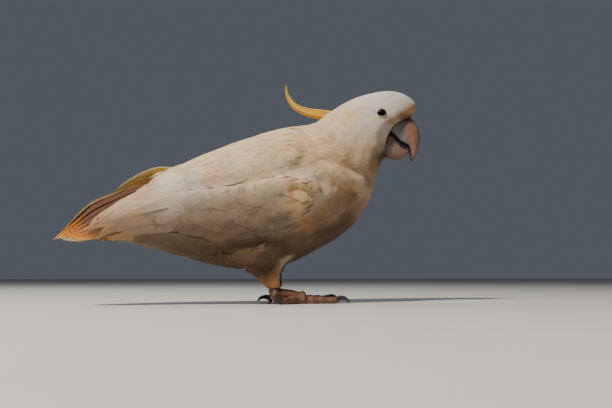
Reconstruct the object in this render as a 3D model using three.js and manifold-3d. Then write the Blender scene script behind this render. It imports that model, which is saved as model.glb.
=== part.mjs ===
// A sulphur-crested cockatoo, life size, standing low with its head turned a little to its right.
// Millimetres, +Z up, bill towards +X, the bird's left side towards +Y, feet on the plane Z = 0.
// Every solid reaches to the outside of the plumage. Neighbouring solids keep a gap of GAP.
import * as THREE from "three";
import { mergeVertices } from "three/addons/utils/BufferGeometryUtils.js";
import Module from "manifold-3d";

const wasm = await Module();
wasm.setup();

// ---------------------------------------------------------------- driving dimensions
const GAP = 0.3; // between neighbouring solids
const HEAD_TURN = -25; // degrees about the vertical, towards the bird's right
const NECK_PIVOT_X = 60; // the vertical axis that the head turns about
const BODY_SIDES = 20; // facets round the trunk, neck and head

// The body as sections from the vent to the forehead. Each stands across the spine: x and z are its
// middle, tilt is how far the spine climbs there, in degrees, and up, down and half are its reach
// to the back, to the belly and to each side.
const BODY = [
  { x: -191, z: 68, tilt: 14, up: 6, down: 9, half: 9 }, // tips of the under-tail coverts
  { x: -170, z: 75, tilt: 14, up: 12, down: 21, half: 19 },
  { x: -138, z: 84, tilt: 14, up: 33, down: 39, half: 32 }, // vent
  { x: -100, z: 93, tilt: 15, up: 45, down: 60, half: 43 }, // rump
  { x: -55, z: 105, tilt: 17, up: 52, down: 76, half: 50 }, // loin and belly
  { x: -12, z: 118, tilt: 22, up: 55, down: 73, half: 53 }, // shoulders
  { x: 22, z: 134, tilt: 32, up: 50, down: 67, half: 51 }, // breast
  { x: 44, z: 152, tilt: 43, up: 40, down: 53, half: 43 }, // base of the neck
  { x: 60, z: 167, tilt: 44, up: 37, down: 39, half: 34 }, // neck
  { x: 74, z: 178, tilt: 40, up: 35, down: 34, half: 29 }, // nape and throat
  { x: 86, z: 186, tilt: 34, up: 31, down: 28, half: 26.5 }, // cheeks
  { x: 98, z: 193, tilt: 26, up: 25.5, down: 22, half: 23.5 }, // brow
  { x: 109, z: 197, tilt: 12, up: 19.5, down: 16, half: 18.5 }, // forehead
  { x: 118, z: 198.5, tilt: 0, up: 12, down: 11, half: 12.5 },
  { x: 123.3, z: 198.5, tilt: -8, up: 6, down: 6, half: 7 },
  { x: 125.3, z: 198.3, tilt: -8, up: 2, down: 2, half: 2.4 },
];
const TRUNK_FROM = 0; // where each part starts and ends, counted in sections of BODY
const TRUNK_TO = 6.75;
const NECK_TO = 8.7;
const HEAD_TO = BODY.length - 1;
const CUT = 0.045; // sections left open between two parts of the body
const TURN_FROM = 5.6; // the head's turn is spread over these sections
const TURN_TO = 8.6;

// The bed that a folded wing lies on, from over the tail to the bend of the wing.
const WING_BED = [
  { x: -236, z: 60, tilt: 12, up: 6, down: 14, half: 22 },
  { x: -206, z: 72, tilt: 13, up: 17, down: 29, half: 27 },
  { x: -172, z: 82, tilt: 15, up: 27, down: 33, half: 31 },
  { x: -138, z: 88, tilt: 15, up: 36, down: 41, half: 36 },
  { ...BODY[3] },
  { ...BODY[4] },
  { ...BODY[5] },
  { ...BODY[6] },
];

// Edges on the bed, front to back, in degrees from the ridge of the back. 90 is straight out to
// the side, and over is the height over the bed of a row's upper and lower edge. The left wing is
// folded higher up over the rump than the right one.
const SCAPULARS = { from: 6.15, to: 2.98, top: [40, 26, 22, 20, 22], bottom: [72, 80, 76, 70, 60] };
const COVERTS = { from: 6.06, to: 2.98, top: [84, 76, 71, 64, 58], bottom: [116, 126, 131, 131, 124] };
const CUSHION = { front: 5.2, back: 3.2 }; // thickness of both, at the front and at the back
const FLIGHT = {
  right: {
    secondaries: {
      from: 2.965,
      reach: [1.3, 0.95, 1.3],
      top: [56, 48, 58],
      bottom: [122, 108, 96],
      over: [2.6, 2.4],
    },
    primaries: {
      from: 2.8,
      reach: [0.85, 0.66, 1.35],
      top: [72, 62, 84],
      bottom: [122, 118, 112],
      over: [-0.2, -0.2],
    },
  },
  left: {
    secondaries: {
      from: 3.35,
      reach: [1.9, 1.7, 1.5],
      top: [26, 24, 40],
      bottom: [118, 100, 84],
      over: [7.5, 5.4],
    },
    primaries: {
      from: 2.8,
      reach: [1, 0.8, 1.4],
      top: [60, 44, 62],
      bottom: [122, 118, 104],
      over: [1.6, 0.6],
    },
  },
};
const SECONDARIES = { count: 6, thick: 1, step: 0.8 };
const PRIMARIES = { count: 6, thick: 1, step: 0.8 };

const TAIL = { count: 8, half: 23.5, thick: 1.2, step: 0.9 };
const CREST = { root: 10, width: 9, tip: 1.3 };

const EYE = { x: 87.2, z: 189.2, radius: 6, out: 21.7 };

const LEG = {
  out: 24, // from the midline to each foot
  feet: [-11, 11.4], // x of the right and of the left foot's ball
  ankle: { back: 25, height: 10.5 },
  ball: 5.4, // height of the ball of the foot
};
// The feathered thigh as level sections: how far each reaches behind and before the ankle and to
// each side.
const THIGH = [
  { z: 64, back: -58, front: 24, half: 18 },
  { z: 46, back: -56, front: 16, half: 17.5 },
  { z: 37, back: -49, front: 8, half: 15.5 },
  { z: 31, back: -34, front: 4, half: 13 },
  { z: 25.5, back: -20, front: 3.5, half: 10.5 },
  { z: 19.5, back: -14.5, front: 4.5, half: 9 },
  { z: 14, back: -8.5, front: 5.5, half: 7.5 },
];
// turn is degrees outwards from straight ahead. Two toes point forwards and two backwards.
const TOES = [
  { name: "toe_1", turn: 204, length: 19, radius: 3.4 },
  { name: "toe_2", turn: -15, length: 27, radius: 3.7 },
  { name: "toe_3", turn: 12, length: 38, radius: 4.0 },
  { name: "toe_4", turn: 150, length: 33, radius: 3.8 },
];
const CLAW = { length: 13, radius: 2.5 };

const COLOURS = {
  plumage: 0xe9dcc3,
  flight: 0xeee4cf,
  stained: 0xd9863c,
  crest: 0xe3b23c,
  bill: 0x8a6258,
  eye: 0x0c0b0c,
  tongue: 0x59655f,
  leg: 0xd2a25c,
  toe: 0x8f5138,
  claw: 0x5b4a42,
};
const ROUGH = { plumage: 0.9, flight: 0.75, stained: 0.8, crest: 0.75, bill: 0.5, eye: 0.08 };

// ---------------------------------------------------------------- tools
const { degToRad, lerp, smoothstep, clamp } = THREE.MathUtils;
const UP = new THREE.Vector3(0, 0, 1);

// The section at place u of a list, on a smooth curve through its neighbours.
function sectionAt(list, u) {
  const t = clamp(u / (list.length - 1), 0, 1);
  const curve = (pick) =>
    new THREE.CatmullRomCurve3(list.map(pick), false, "catmullrom", 0.5).getPoint(t);
  const spine = curve((s) => new THREE.Vector3(s.x, s.tilt, s.z));
  const reach = curve((s) => new THREE.Vector3(s.up, s.down, s.half));
  return { x: spine.x, tilt: spine.y, z: spine.z, up: reach.x, down: reach.y, half: reach.z };
}

// A point of a section: angle 0 is its back, 90 its +Y side and 180 its belly, in degrees.
function onSection(s, angle, over = 0) {
  const a = degToRad(angle);
  const reach = (Math.cos(a) > 0 ? s.up : s.down) + over;
  const v = Math.cos(a) * reach;
  const lift = degToRad(s.tilt);
  const y = Math.sin(a) * (s.half + over);
  return new THREE.Vector3(s.x - Math.sin(lift) * v, y, s.z + Math.cos(lift) * v);
}

// Turns a point about the neck's pivot by a share of the head's turn.
function turned(point, share) {
  const pivot = new THREE.Vector3(NECK_PIVOT_X, 0, 0);
  const turn = degToRad(HEAD_TURN) * share;
  return point.clone().sub(pivot).applyAxisAngle(UP, turn).add(pivot);
}

// The closed surface through a row of rings, each a list of as many points. Both ends are closed
// by a ladder of faces that joins a ring's first points to its last ones, so a ring may be a strip.
function loft(rings) {
  const sides = rings[0].length;
  const faces = [];
  for (let r = 0; r + 1 < rings.length; r++)
    for (let s = 0; s < sides; s++) {
      const a = r * sides + s;
      const b = r * sides + ((s + 1) % sides);
      faces.push(a, b, b + sides, a, b + sides, a + sides);
    }
  const last = (rings.length - 1) * sides;
  const cap = (first, ...corners) => faces.push(...corners.map((c) => first + c));
  for (let i = 0, j = sides - 1; j - i > 1; i++, j--) {
    cap(0, i, j, i + 1);
    cap(last, i, i + 1, j);
    if (j - i === 2) break;
    cap(0, j, j - 1, i + 1);
    cap(last, j, i + 1, j - 1);
  }
  const geometry = new THREE.BufferGeometry().setFromPoints(rings.flat()).setIndex(faces);
  return facingOut(geometry);
}

// The same geometry, with its faces turned round if they point inwards.
function facingOut(geometry) {
  const p = geometry.getAttribute("position");
  const index = geometry.index.array;
  const corner = (i) => new THREE.Vector3().fromBufferAttribute(p, index[i]);
  let volume = 0;
  for (let i = 0; i < index.length; i += 3)
    volume += corner(i).dot(corner(i + 1).cross(corner(i + 2)));
  if (volume < 0)
    for (let i = 0; i < index.length; i += 3)
      [index[i + 1], index[i + 2]] = [index[i + 2], index[i + 1]];
  return geometry;
}

function solid(geometry) {
  const merged = mergeVertices(geometry, 1e-4);
  return new wasm.Manifold(
    new wasm.Mesh({
      numProp: 3,
      vertProperties: merged.getAttribute("position").array,
      triVerts: new Uint32Array(merged.index.array),
    }),
  );
}

function geometryOf(made) {
  const mesh = made.getMesh();
  const place = new THREE.BufferAttribute(new Float32Array(mesh.vertProperties), 3);
  const faces = new THREE.BufferAttribute(new Uint32Array(mesh.triVerts), 1);
  return new THREE.BufferGeometry().setAttribute("position", place).setIndex(faces);
}

const cutBy = (made, ...others) => others.reduce((left, o) => left.subtract(o), made);

// The largest piece of a solid that a cut has left in several.
function largest(made) {
  return made.decompose().sort((a, b) => b.volume() - a.volume())[0];
}

// A round tube along a curve: radius(t) and grow set its thickness, across is its sideways
// direction, and nothing of it is under the floor.
function tube(path, radius, { rings, sides, across, grow = 0, squash = 1 }) {
  const made = [];
  for (let r = 0; r <= rings; r++) {
    const t = r / rings;
    const over = new THREE.Vector3().crossVectors(path.getTangent(t), across).normalize();
    const size = radius(t) + grow;
    const ring = [];
    for (let s = 0; s < sides; s++) {
      const a = (2 * Math.PI * (s + 0.5)) / sides - Math.PI / 2;
      const p = path.getPoint(t).addScaledVector(across, Math.cos(a) * size);
      p.addScaledVector(over, Math.sin(a) * size * squash);
      p.z = Math.max(p.z, -grow);
      ring.push(p);
    }
    made.push(ring);
  }
  return solid(loft(made));
}

// A plate between two surfaces, outer(t, k) and inner(t, k), for t from 0 to 1 and k from 0 to
// columns.
function plate(outer, inner, rings, columns) {
  const made = [];
  for (let r = 0; r <= rings; r++) {
    const ring = [];
    for (let k = 0; k <= columns; k++) ring.push(outer(r / rings, k));
    for (let k = columns; k >= 0; k--) ring.push(inner(r / rings, k));
    made.push(ring);
  }
  return solid(loft(made));
}

// A row of overlapping flight feathers as one plate, stepped where each feather lies on the next.
// place(t, q, height) gives a point of the row, q running from 0 to 1 across it, and tip(q) says
// how far back the row reaches there. mirrored rows step down from their middle to both sides.
function featherRow(place, row) {
  const { count, tip, thick, step, over = [0, 0], mirrored = false, grow = 0, rings = 4 } = row;
  const column = (k) => ({ feather: Math.floor(k / 3), part: k % 3 });
  const across = (k) => {
    const { feather, part } = column(k);
    return (feather + [0.04, 0.5, 0.96][part]) / count;
  };
  const length = (k) => {
    const { feather, part } = column(k);
    const middle = tip((feather + 0.5) / count);
    return middle * [0.955, 1, 0.965][part];
  };
  const height = (k) => {
    const { feather, part } = column(k);
    const turn = mirrored && feather < count / 2;
    return lerp(...over, across(k)) + step * [0, 0.75, 1][turn ? 2 - part : part];
  };
  const last = 3 * count - 1;
  const widen = (k) => (k === 0 ? -grow : k === last ? grow : 0);
  const at = (t, k, height) => {
    const reach = t * length(k) * (1 + (t === 1 ? grow / 60 : 0));
    return place(reach, across(k), height, widen(k));
  };
  return plate(
    (t, k) => at(t, k, height(k) + grow),
    (t, k) => at(t, k, lerp(...over, across(k)) - thick - grow),
    rings,
    last,
  );
}

// ---------------------------------------------------------------- body, neck and head
function bodyPart(from, to, rings, grow = 0) {
  const made = [];
  for (let r = 0; r <= rings; r++) {
    const u = lerp(from, to, r / rings);
    const s = sectionAt(BODY, u);
    const share = smoothstep(u, TURN_FROM, TURN_TO);
    const ring = [];
    for (let k = 0; k < BODY_SIDES; k++)
      ring.push(turned(onSection(s, (360 * k) / BODY_SIDES, grow), share));
    made.push(ring);
  }
  return solid(loft(made));
}

const trunk = (grow = 0) => bodyPart(TRUNK_FROM, TRUNK_TO, 16, grow);
const neck = (grow = 0) => bodyPart(TRUNK_TO + CUT, NECK_TO, 5, grow);
const head = (grow = 0) => bodyPart(NECK_TO + CUT, HEAD_TO, 12, grow).subtract(faceHollow(grow));

// The front of the face, seen from the side from the throat to the forehead. The feathers end on
// this line beside the bill, and further back where the head is wider than the bill.
const FACE_LINE = [
  [94, 138],
  [92, 150],
  [93, 164],
  [97, 173],
  [102, 181],
  [112, 185.3],
  [130, 190],
];
const FACE_BACK = [
  { y: 30, back: 16 },
  { y: 18, back: 4 },
  { y: 11, back: 0 },
];

// What is cut off the head in front of that line, where the bill stands.
function faceHollow(grow) {
  const front = 150;
  const ring = ({ y, back }) => {
    const line = FACE_LINE.map(([x, z]) => new THREE.Vector3(x - back + grow, y, z));
    const [low, high] = [line[0], line.at(-1)];
    return [...line, high.clone().setX(front), low.clone().setX(front)].map((p) => turned(p, 1));
  };
  const mirrored = [...FACE_BACK].reverse().map(({ y, back }) => ({ y: -y, back }));
  return solid(loft([...FACE_BACK, ...mirrored].map(ring)));
}

function eyeball(side, grow = 0) {
  const ball = new THREE.SphereGeometry(EYE.radius + grow, 10, 7);
  ball.deleteAttribute("normal");
  ball.deleteAttribute("uv");
  ball.rotateX(Math.PI / 2);
  const middle = turned(new THREE.Vector3(EYE.x, side * EYE.out, EYE.z), 1);
  return solid(facingOut(mergeVertices(ball.translate(middle.x, middle.y, middle.z), 1e-4)));
}

// ---------------------------------------------------------------- bill
// Pairs of points down each half of the bill, seen from the side: its outer ridge and its inner
// edge, with its half width between them.
const UPPER_BILL = [
  { ridge: [100, 190], edge: [92, 176], half: 8.5 },
  { ridge: [110, 190.5], edge: [98, 173], half: 10.4 },
  { ridge: [119, 188], edge: [102.5, 168.5], half: 10.6 },
  { ridge: [125, 181.5], edge: [106.5, 164.2], half: 9.8 },
  { ridge: [128, 172.5], edge: [111, 161.6], half: 8.8 },
  { ridge: [128.4, 163], edge: [115.6, 159.4], half: 7.2 },
  { ridge: [126, 153.5], edge: [118, 154.5], half: 4.6 },
  { ridge: [122.6, 147], edge: [118.6, 148.5], half: 2.4 },
  { ridge: [119.9, 143.3], edge: [118.9, 144.6], half: 0.7 },
];
const LOWER_BILL = [
  { ridge: [84, 150], edge: [88, 170], half: 9.0 },
  { ridge: [93, 146.8], edge: [96.5, 170.5], half: 9.6 },
  { ridge: [101, 144.9], edge: [103.3, 165], half: 9.2 },
  { ridge: [108.5, 145.2], edge: [108.4, 158.8], half: 7.8 },
  { ridge: [114.2, 148.2], edge: [113, 156], half: 5.8 },
  { ridge: [117.4, 152.2], edge: [116.2, 156.2], half: 3.2 },
];

function bill(pairs, grow = 0) {
  const sides = 12;
  const made = [];
  const steps = Math.round(1.6 * (pairs.length - 1));
  const rail = (key) =>
    new THREE.CatmullRomCurve3(pairs.map((p) => new THREE.Vector3(p[key][0], 0, p[key][1])));
  const width = new THREE.CatmullRomCurve3(pairs.map((p, i) => new THREE.Vector3(i, p.half, 0)));
  for (let r = 0; r <= steps; r++) {
    const ridge = rail("ridge").getPoint(r / steps);
    const edge = rail("edge").getPoint(r / steps);
    const half = width.getPoint(r / steps).y + grow;
    const middle = ridge.clone().lerp(edge, 0.5);
    const reach = ridge.clone().sub(middle).setLength(ridge.distanceTo(edge) / 2 + grow);
    const ring = [];
    for (let s = 0; s < sides; s++) {
      const a = (2 * Math.PI * s) / sides;
      const p = middle.clone().addScaledVector(reach, Math.cos(a));
      p.y = half * Math.sign(Math.sin(a)) * Math.abs(Math.sin(a)) ** 0.85;
      ring.push(turned(p, 1));
    }
    made.push(ring);
  }
  return solid(loft(made));
}

function tongue() {
  const path = new THREE.CatmullRomCurve3(
    [
      [90, 161],
      [99, 160.6],
      [108, 159.8],
      [115.4, 157.8],
    ].map(([x, z]) => turned(new THREE.Vector3(x, 0, z), 1)),
  );
  const across = new THREE.Vector3(0, 1, 0).applyAxisAngle(UP, degToRad(HEAD_TURN));
  const size = (t) => 2.6 * Math.sqrt(1.02 - t ** 3);
  return tube(path, size, { rings: 5, sides: 8, across, squash: 0.62 });
}

// ---------------------------------------------------------------- crest
const CREST_LINE = new THREE.CatmullRomCurve3(
  [
    [40, 195],
    [27.5, 193],
    [12.3, 195],
    [-0.5, 201.5],
    [-8, 214],
    [-9, 226],
  ].map(([x, z]) => new THREE.Vector3(x, 0, z)),
);

// The folded crest: its narrow feathers close into one horn, grooved along both its sides.
function crest() {
  const rings = 8;
  const sides = 10;
  const made = [];
  for (let r = 0; r <= rings; r++) {
    const t = r / rings;
    const along = CREST_LINE.getTangent(t);
    const outside = new THREE.Vector3(-along.z, 0, along.x);
    const size = Math.max(1 - t ** 1.4, 0) ** 0.8;
    const ring = [];
    for (let k = 0; k < sides; k++) {
      const a = (2 * Math.PI * k) / sides;
      const groove = k % 5 === 0 ? 1 : 0.86;
      const p = CREST_LINE.getPoint(t);
      p.addScaledVector(outside, Math.cos(a) * groove * lerp(CREST.tip, CREST.root, size) / 2);
      p.y = (Math.sin(a) * lerp(CREST.tip, CREST.width, size)) / 2;
      ring.push(turned(p, 1));
    }
    made.push(ring);
  }
  return solid(loft(made));
}

// ---------------------------------------------------------------- wings
// side is 1 for the bird's left wing and -1 for its right wing.
const onBed = (u, angle, over, side) =>
  onSection(sectionAt(WING_BED, u), angle, over).multiply(new THREE.Vector3(1, side, 1));

// A value from a list of evenly spaced ones, with t running from 0 to 1 along it.
function along(list, t) {
  const place = clamp(t, 0, 1) * (list.length - 1);
  const i = Math.min(Math.floor(place), list.length - 2);
  return lerp(list[i], list[i + 1], smoothstep(place - i, 0, 1));
}

// Body feathers as a cushion on the bed: the scapulars over the shoulder, or the wing's coverts.
function cushion({ from, to, top, bottom }, side, grow = 0) {
  const columns = 6;
  const rings = 9;
  const spot = (t, k, over) => {
    const centre = (along(top, t) + along(bottom, t)) / 2;
    const nose = Math.sqrt(1 - (1 - clamp(t / 0.2, 0.02, 1)) ** 2); // rounds the front edge
    const reach = ((along(bottom, t) - along(top, t)) / 2) * lerp(0.15, 1, nose) + grow;
    const q = (2 * k) / columns - 1;
    return onBed(lerp(from, to, t) + grow * (0.5 - t) * 0.02, centre + q * reach, over, side);
  };
  const height = (t, k) => {
    const q = (2 * k) / columns - 1;
    const edge = Math.sqrt(Math.max(0, 1 - Math.abs(q) ** 3));
    const full = lerp(CUSHION.front, CUSHION.back, t) * lerp(0.4, 1, clamp(t / 0.12, 0, 1));
    return lerp(1, full, edge) + grow;
  };
  return plate(
    (t, k) => spot(t ** 1.5, k, height(t ** 1.5, k)),
    (t, k) => spot(t ** 1.5, k, -3 - grow),
    rings,
    columns,
  );
}

// A row of flight feathers on the bed.
function wingRow(row, { from, reach, top, bottom, over }, side, grow = 0) {
  const furthest = from - Math.min(...reach);
  const place = (t, q, height, widen) => {
    const share = t / furthest;
    const angle = lerp(along(top, share), along(bottom, share), q) + 2 * widen;
    return onBed(from - t, angle, height, side);
  };
  return featherRow(place, {
    count: row.count,
    tip: (q) => from - along(reach, q),
    over,
    thick: row.thick,
    step: row.step,
    grow,
  });
}

// ---------------------------------------------------------------- tail
// The folded tail is a roof: its ridge bends down to the tip and its two eaves are level.
const tailLine = (points) =>
  new THREE.CatmullRomCurve3(points.map(([x, z]) => new THREE.Vector3(x, 0, z)));
const TAIL_RIDGE = tailLine([
  [-118, 117],
  [-160, 108],
  [-190, 96],
  [-207, 86.5],
  [-221, 72.5],
  [-236, 57.5],
]);
const TAIL_EAVES = tailLine([
  [-118, 90],
  [-152, 72],
  [-178, 61],
  [-200, 57.5],
  [-216, 57],
  [-232, 57],
]);

function tail() {
  const place = (t, q, height) => {
    const side = 2 * q - 1;
    const p = TAIL_RIDGE.getPoint(t).lerp(TAIL_EAVES.getPoint(t), Math.abs(side) ** 1.4);
    p.y = side * TAIL.half * lerp(0.5, 1, smoothstep(t, 0, 0.6)) * (1 - 0.3 * t ** 5);
    return p.add(new THREE.Vector3(0, Math.sign(side) * 0.6, 0.8).multiplyScalar(height));
  };
  return featherRow(place, {
    count: TAIL.count,
    tip: (q) => 1 - 0.1 * Math.abs(2 * q - 1) ** 1.5,
    thick: TAIL.thick,
    step: TAIL.step,
    mirrored: true,
    rings: 5,
  });
}

// ---------------------------------------------------------------- legs
function legPlaces(side) {
  const x = LEG.feet[side < 0 ? 0 : 1];
  const y = side * LEG.out;
  return {
    ball: new THREE.Vector3(x, y, LEG.ball),
    ankle: new THREE.Vector3(x - LEG.ankle.back, y, LEG.ankle.height),
  };
}

// The feathered upper leg, down to just above the ankle.
function thigh(side, grow = 0) {
  const { ankle } = legPlaces(side);
  const sides = 12;
  const rings = THIGH.map(({ z, back, front, half }, i) => {
    const ring = [];
    const lower = i === THIGH.length - 1 ? grow : 0;
    for (let k = 0; k < sides; k++) {
      const a = (2 * Math.PI * k) / sides;
      const x = ankle.x + (back + front) / 2 + Math.cos(a) * ((front - back) / 2 + grow);
      ring.push(new THREE.Vector3(x, ankle.y + Math.sin(a) * (half + grow), z - lower));
    }
    return ring;
  });
  return solid(loft(rings));
}

// The bare shank with the ankle's knob behind and the ball of the foot in front.
function shank(side, grow = 0) {
  const { ball, ankle } = legPlaces(side);
  const path = new THREE.CatmullRomCurve3([
    ankle.clone().add(new THREE.Vector3(-5.5, 0, 0.5)),
    ankle.clone().add(new THREE.Vector3(1, 0, -1)),
    ankle.clone().lerp(ball, 0.55).add(new THREE.Vector3(0, 0, 0.6)),
    ball.clone().add(new THREE.Vector3(-1, 0, 0)),
    ball.clone().add(new THREE.Vector3(6, 0, -1)),
  ]);
  const radius = (t) => {
    const knob = 2.0 * Math.exp(-(((t - 0.1) / 0.16) ** 2));
    const pad = 2.0 * Math.exp(-(((t - 0.86) / 0.14) ** 2));
    return (4.4 + knob + pad) * Math.sqrt(clamp(1.03 - Math.abs(2 * t - 1) ** 9, 0, 1));
  };
  return tube(path, radius, { rings: 8, sides: 8, across: new THREE.Vector3(0, 1, 0), grow });
}

// The level direction of a toe and the one across it.
function toeWay(side, toe) {
  const turn = degToRad(toe.turn);
  const ahead = new THREE.Vector3(Math.cos(turn), side * Math.sin(turn), 0);
  return { ahead, across: new THREE.Vector3(-ahead.y, ahead.x, 0) };
}

function toePath(side, toe) {
  const { ball } = legPlaces(side);
  const { ahead } = toeWay(side, toe);
  const step = (share, height) =>
    ball.clone().setZ(height).addScaledVector(ahead, share * toe.length);
  return new THREE.CatmullRomCurve3([
    step(0.08, toe.radius * 0.84),
    step(0.4, toe.radius * 0.8),
    step(0.75, toe.radius * 0.74),
    step(1, toe.radius * 0.68),
  ]);
}

// A toe with a pad under each of its joints.
function toeSolid(side, toe, grow = 0) {
  const pads = Math.round(toe.length / 10);
  const radius = (t) =>
    toe.radius * (0.96 + 0.06 * Math.cos(2 * Math.PI * pads * t)) *
    lerp(1.08, 0.86, t) * Math.sqrt(clamp(1.04 - t ** 12, 0, 1));
  const { across } = toeWay(side, toe);
  return tube(toePath(side, toe), radius, { rings: 2 * pads, sides: 7, across, grow });
}

function claw(side, toe) {
  const path = toePath(side, toe);
  const end = path.getPoint(1);
  const { ahead, across } = toeWay(side, toe);
  const step = (share, height) =>
    end.clone().addScaledVector(ahead, share * CLAW.length).setZ(height);
  const line = new THREE.CatmullRomCurve3([
    step(-0.3, toe.radius * 0.9),
    step(0.2, toe.radius + 1.6),
    step(0.6, toe.radius + 0.4),
    step(0.86, 0.3),
  ]);
  const radius = (t) => CLAW.radius * lerp(1, 0.2, t ** 1.3);
  return tube(line, radius, { rings: 4, sides: 5, across });
}

// ---------------------------------------------------------------- the bird
const bird = new THREE.Group();

function add(name, made, look) {
  const material = new THREE.MeshStandardMaterial({
    color: COLOURS[look],
    roughness: ROUGH[look] ?? 0.7,
    metalness: 0,
  });
  const mesh = new THREE.Mesh(geometryOf(made), material);
  mesh.name = name;
  bird.add(mesh);
}

const trunkRoom = trunk(GAP);
const neckRoom = neck(GAP);
const headRoom = head(GAP);
const upperRoom = bill(UPPER_BILL, GAP);
const lowerRoom = bill(LOWER_BILL, GAP);
add("trunk", trunk(), "plumage");
add("neck", neck(), "plumage");
add("head", cutBy(head(), eyeball(1, GAP), eyeball(-1, GAP)), "plumage");
add("bill_upper", largest(cutBy(bill(UPPER_BILL), headRoom)), "bill");
add("bill_lower", largest(cutBy(bill(LOWER_BILL), headRoom, neckRoom, upperRoom)), "bill");
add("tongue", largest(cutBy(tongue(), headRoom, upperRoom, lowerRoom)), "tongue");
add("crest", largest(cutBy(crest(), headRoom, neckRoom)), "crest");

const wingRoom = [];
for (const [word, side] of [
  ["right", -1],
  ["left", 1],
]) {
  add(`eye_${word}`, eyeball(side), "eye");

  // The rows of a wing, each cut by those that lie over it.
  const { secondaries, primaries } = FLIGHT[word];
  const rows = [
    ["scapulars", "plumage", (grow) => cushion(SCAPULARS, side, grow)],
    ["coverts", "plumage", (grow) => cushion(COVERTS, side, grow)],
    ["secondaries", "flight", (grow) => wingRow(SECONDARIES, secondaries, side, grow)],
    ["primaries", "flight", (grow) => wingRow(PRIMARIES, primaries, side, grow)],
  ];
  const above = [];
  for (const [row, look, make] of rows) {
    add(`wing_${word}_${row}`, largest(cutBy(make(0), trunkRoom, ...above)), look);
    above.push(make(GAP));
  }
  wingRoom.push(...above);

  const shankRoom = shank(side, GAP);
  add(`leg_${word}_thigh`, largest(cutBy(thigh(side), trunkRoom, shankRoom, ...above)), "leg");
  add(`leg_${word}_shank`, shank(side), "toe");
  const taken = [shankRoom];
  for (const toe of TOES) {
    add(`leg_${word}_${toe.name}`, largest(cutBy(toeSolid(side, toe), ...taken)), "toe");
    taken.push(toeSolid(side, toe, GAP));
    const name = `leg_${word}_${toe.name.replace("toe", "claw")}`;
    add(name, largest(cutBy(claw(side, toe), ...taken)), "claw");
  }
}
add("tail", largest(cutBy(tail(), trunkRoom, ...wingRoom)), "stained");

// The origin is on the floor, under the middle of the bird's bounding box.
const box = new THREE.Box3().setFromObject(bird);
const middle = box.getCenter(new THREE.Vector3());
bird.position.set(-middle.x, -middle.y, -box.min.z);

export default bird;
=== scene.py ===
"""A sulphur-crested cockatoo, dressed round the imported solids.

The solids reach to the outside of the plumage. One skin lies inside them by the coat's depth, and
every feather is a thin closed vane that grows from it and follows the lie of the coat. Lengths are
millimetres in the row's frame, until mesh_object() turns them into metres.
"""
import math

import bmesh
import bpy
import numpy as np
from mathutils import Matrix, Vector
from mathutils.bvhtree import BVHTree
from mathutils.kdtree import KDTree


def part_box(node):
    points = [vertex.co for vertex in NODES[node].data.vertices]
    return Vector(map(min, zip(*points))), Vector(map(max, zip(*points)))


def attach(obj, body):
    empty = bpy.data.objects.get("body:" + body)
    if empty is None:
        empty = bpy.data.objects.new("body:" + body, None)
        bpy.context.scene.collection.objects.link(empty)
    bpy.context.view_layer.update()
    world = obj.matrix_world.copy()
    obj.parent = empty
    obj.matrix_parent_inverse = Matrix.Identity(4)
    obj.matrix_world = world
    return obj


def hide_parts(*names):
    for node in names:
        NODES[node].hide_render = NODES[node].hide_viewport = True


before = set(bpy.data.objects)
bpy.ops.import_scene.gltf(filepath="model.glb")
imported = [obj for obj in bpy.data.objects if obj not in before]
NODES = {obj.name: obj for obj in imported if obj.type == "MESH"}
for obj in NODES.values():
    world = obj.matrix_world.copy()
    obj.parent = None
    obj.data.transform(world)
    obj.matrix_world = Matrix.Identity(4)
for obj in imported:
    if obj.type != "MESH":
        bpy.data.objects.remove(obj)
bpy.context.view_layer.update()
MM = 0.001
SIDES = (("right", -1), ("left", 1))  # the bird's own sides, with the sign of y on each
UP = np.array([0.0, 0.0, 1.0])


# ---------------------------------------------------------------- small tools
def unit(vectors):
    """Vectors at length 1."""
    return vectors / np.maximum(np.linalg.norm(vectors, axis=-1, keepdims=True), 1e-9)


def ramp(low, high, value):
    """0 below low, 1 above high, and a smooth step between them."""
    t = np.clip((value - low) / (high - low), 0, 1)
    return t * t * (3 - 2 * t)


def mix(a, b, share):
    return a + (b - a) * share


def bell(distance, width):
    return np.exp(-((distance / width) ** 2))


def curve(points, t):
    """Places t, from 0 to 1, on a smooth curve through points that are evenly spaced in t."""
    points = np.asarray(points, float)
    if points.ndim == 1:
        points = points[:, None]
    last = len(points) - 1
    place = np.clip(np.atleast_1d(t), 0, 1) * last
    i = np.minimum(place.astype(int), last - 1)
    f = (place - i)[:, None]
    before = np.where((i > 0)[:, None], points[np.maximum(i - 1, 0)], 2 * points[i] - points[i + 1])
    a, b = points[i], points[i + 1]
    past = np.minimum(i + 2, last)
    after = np.where((i + 2 <= last)[:, None], points[past], 2 * b - a)
    whole = 2 * a + (b - before) * f + (2 * before - 5 * a + 4 * b - after) * f**2
    whole = (whole + (3 * a - before - 3 * b + after) * f**3) / 2
    return whole[:, 0] if whole.shape[1] == 1 else whole


def ripple(points, wave, seed):
    """Smooth noise from about -1 to 1, with features about wave across."""
    rng = np.random.default_rng(seed)
    total = np.zeros(len(points))
    for _ in range(7):
        way = unit(rng.normal(size=3)) * rng.uniform(0.6, 1.5)
        total += np.sin(points @ way * (2 * math.pi / wave) + rng.uniform(0, 2 * math.pi))
    return total / 3


def grid_faces(rings, columns, closed=False):
    """Quads of a grid of rings x columns points. closed joins each ring's last point to its first."""
    wide = columns if closed else columns - 1
    r, c = np.meshgrid(np.arange(rings - 1), np.arange(wide), indexing="ij")
    a = r * columns + c
    b = r * columns + (c + 1) % columns
    return np.stack([a, b, b + columns, a + columns], -1).reshape(-1, 4)


def in_scene(name, data):
    made = bpy.data.objects.new(name, data)
    bpy.context.scene.collection.objects.link(made)
    return made


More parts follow.
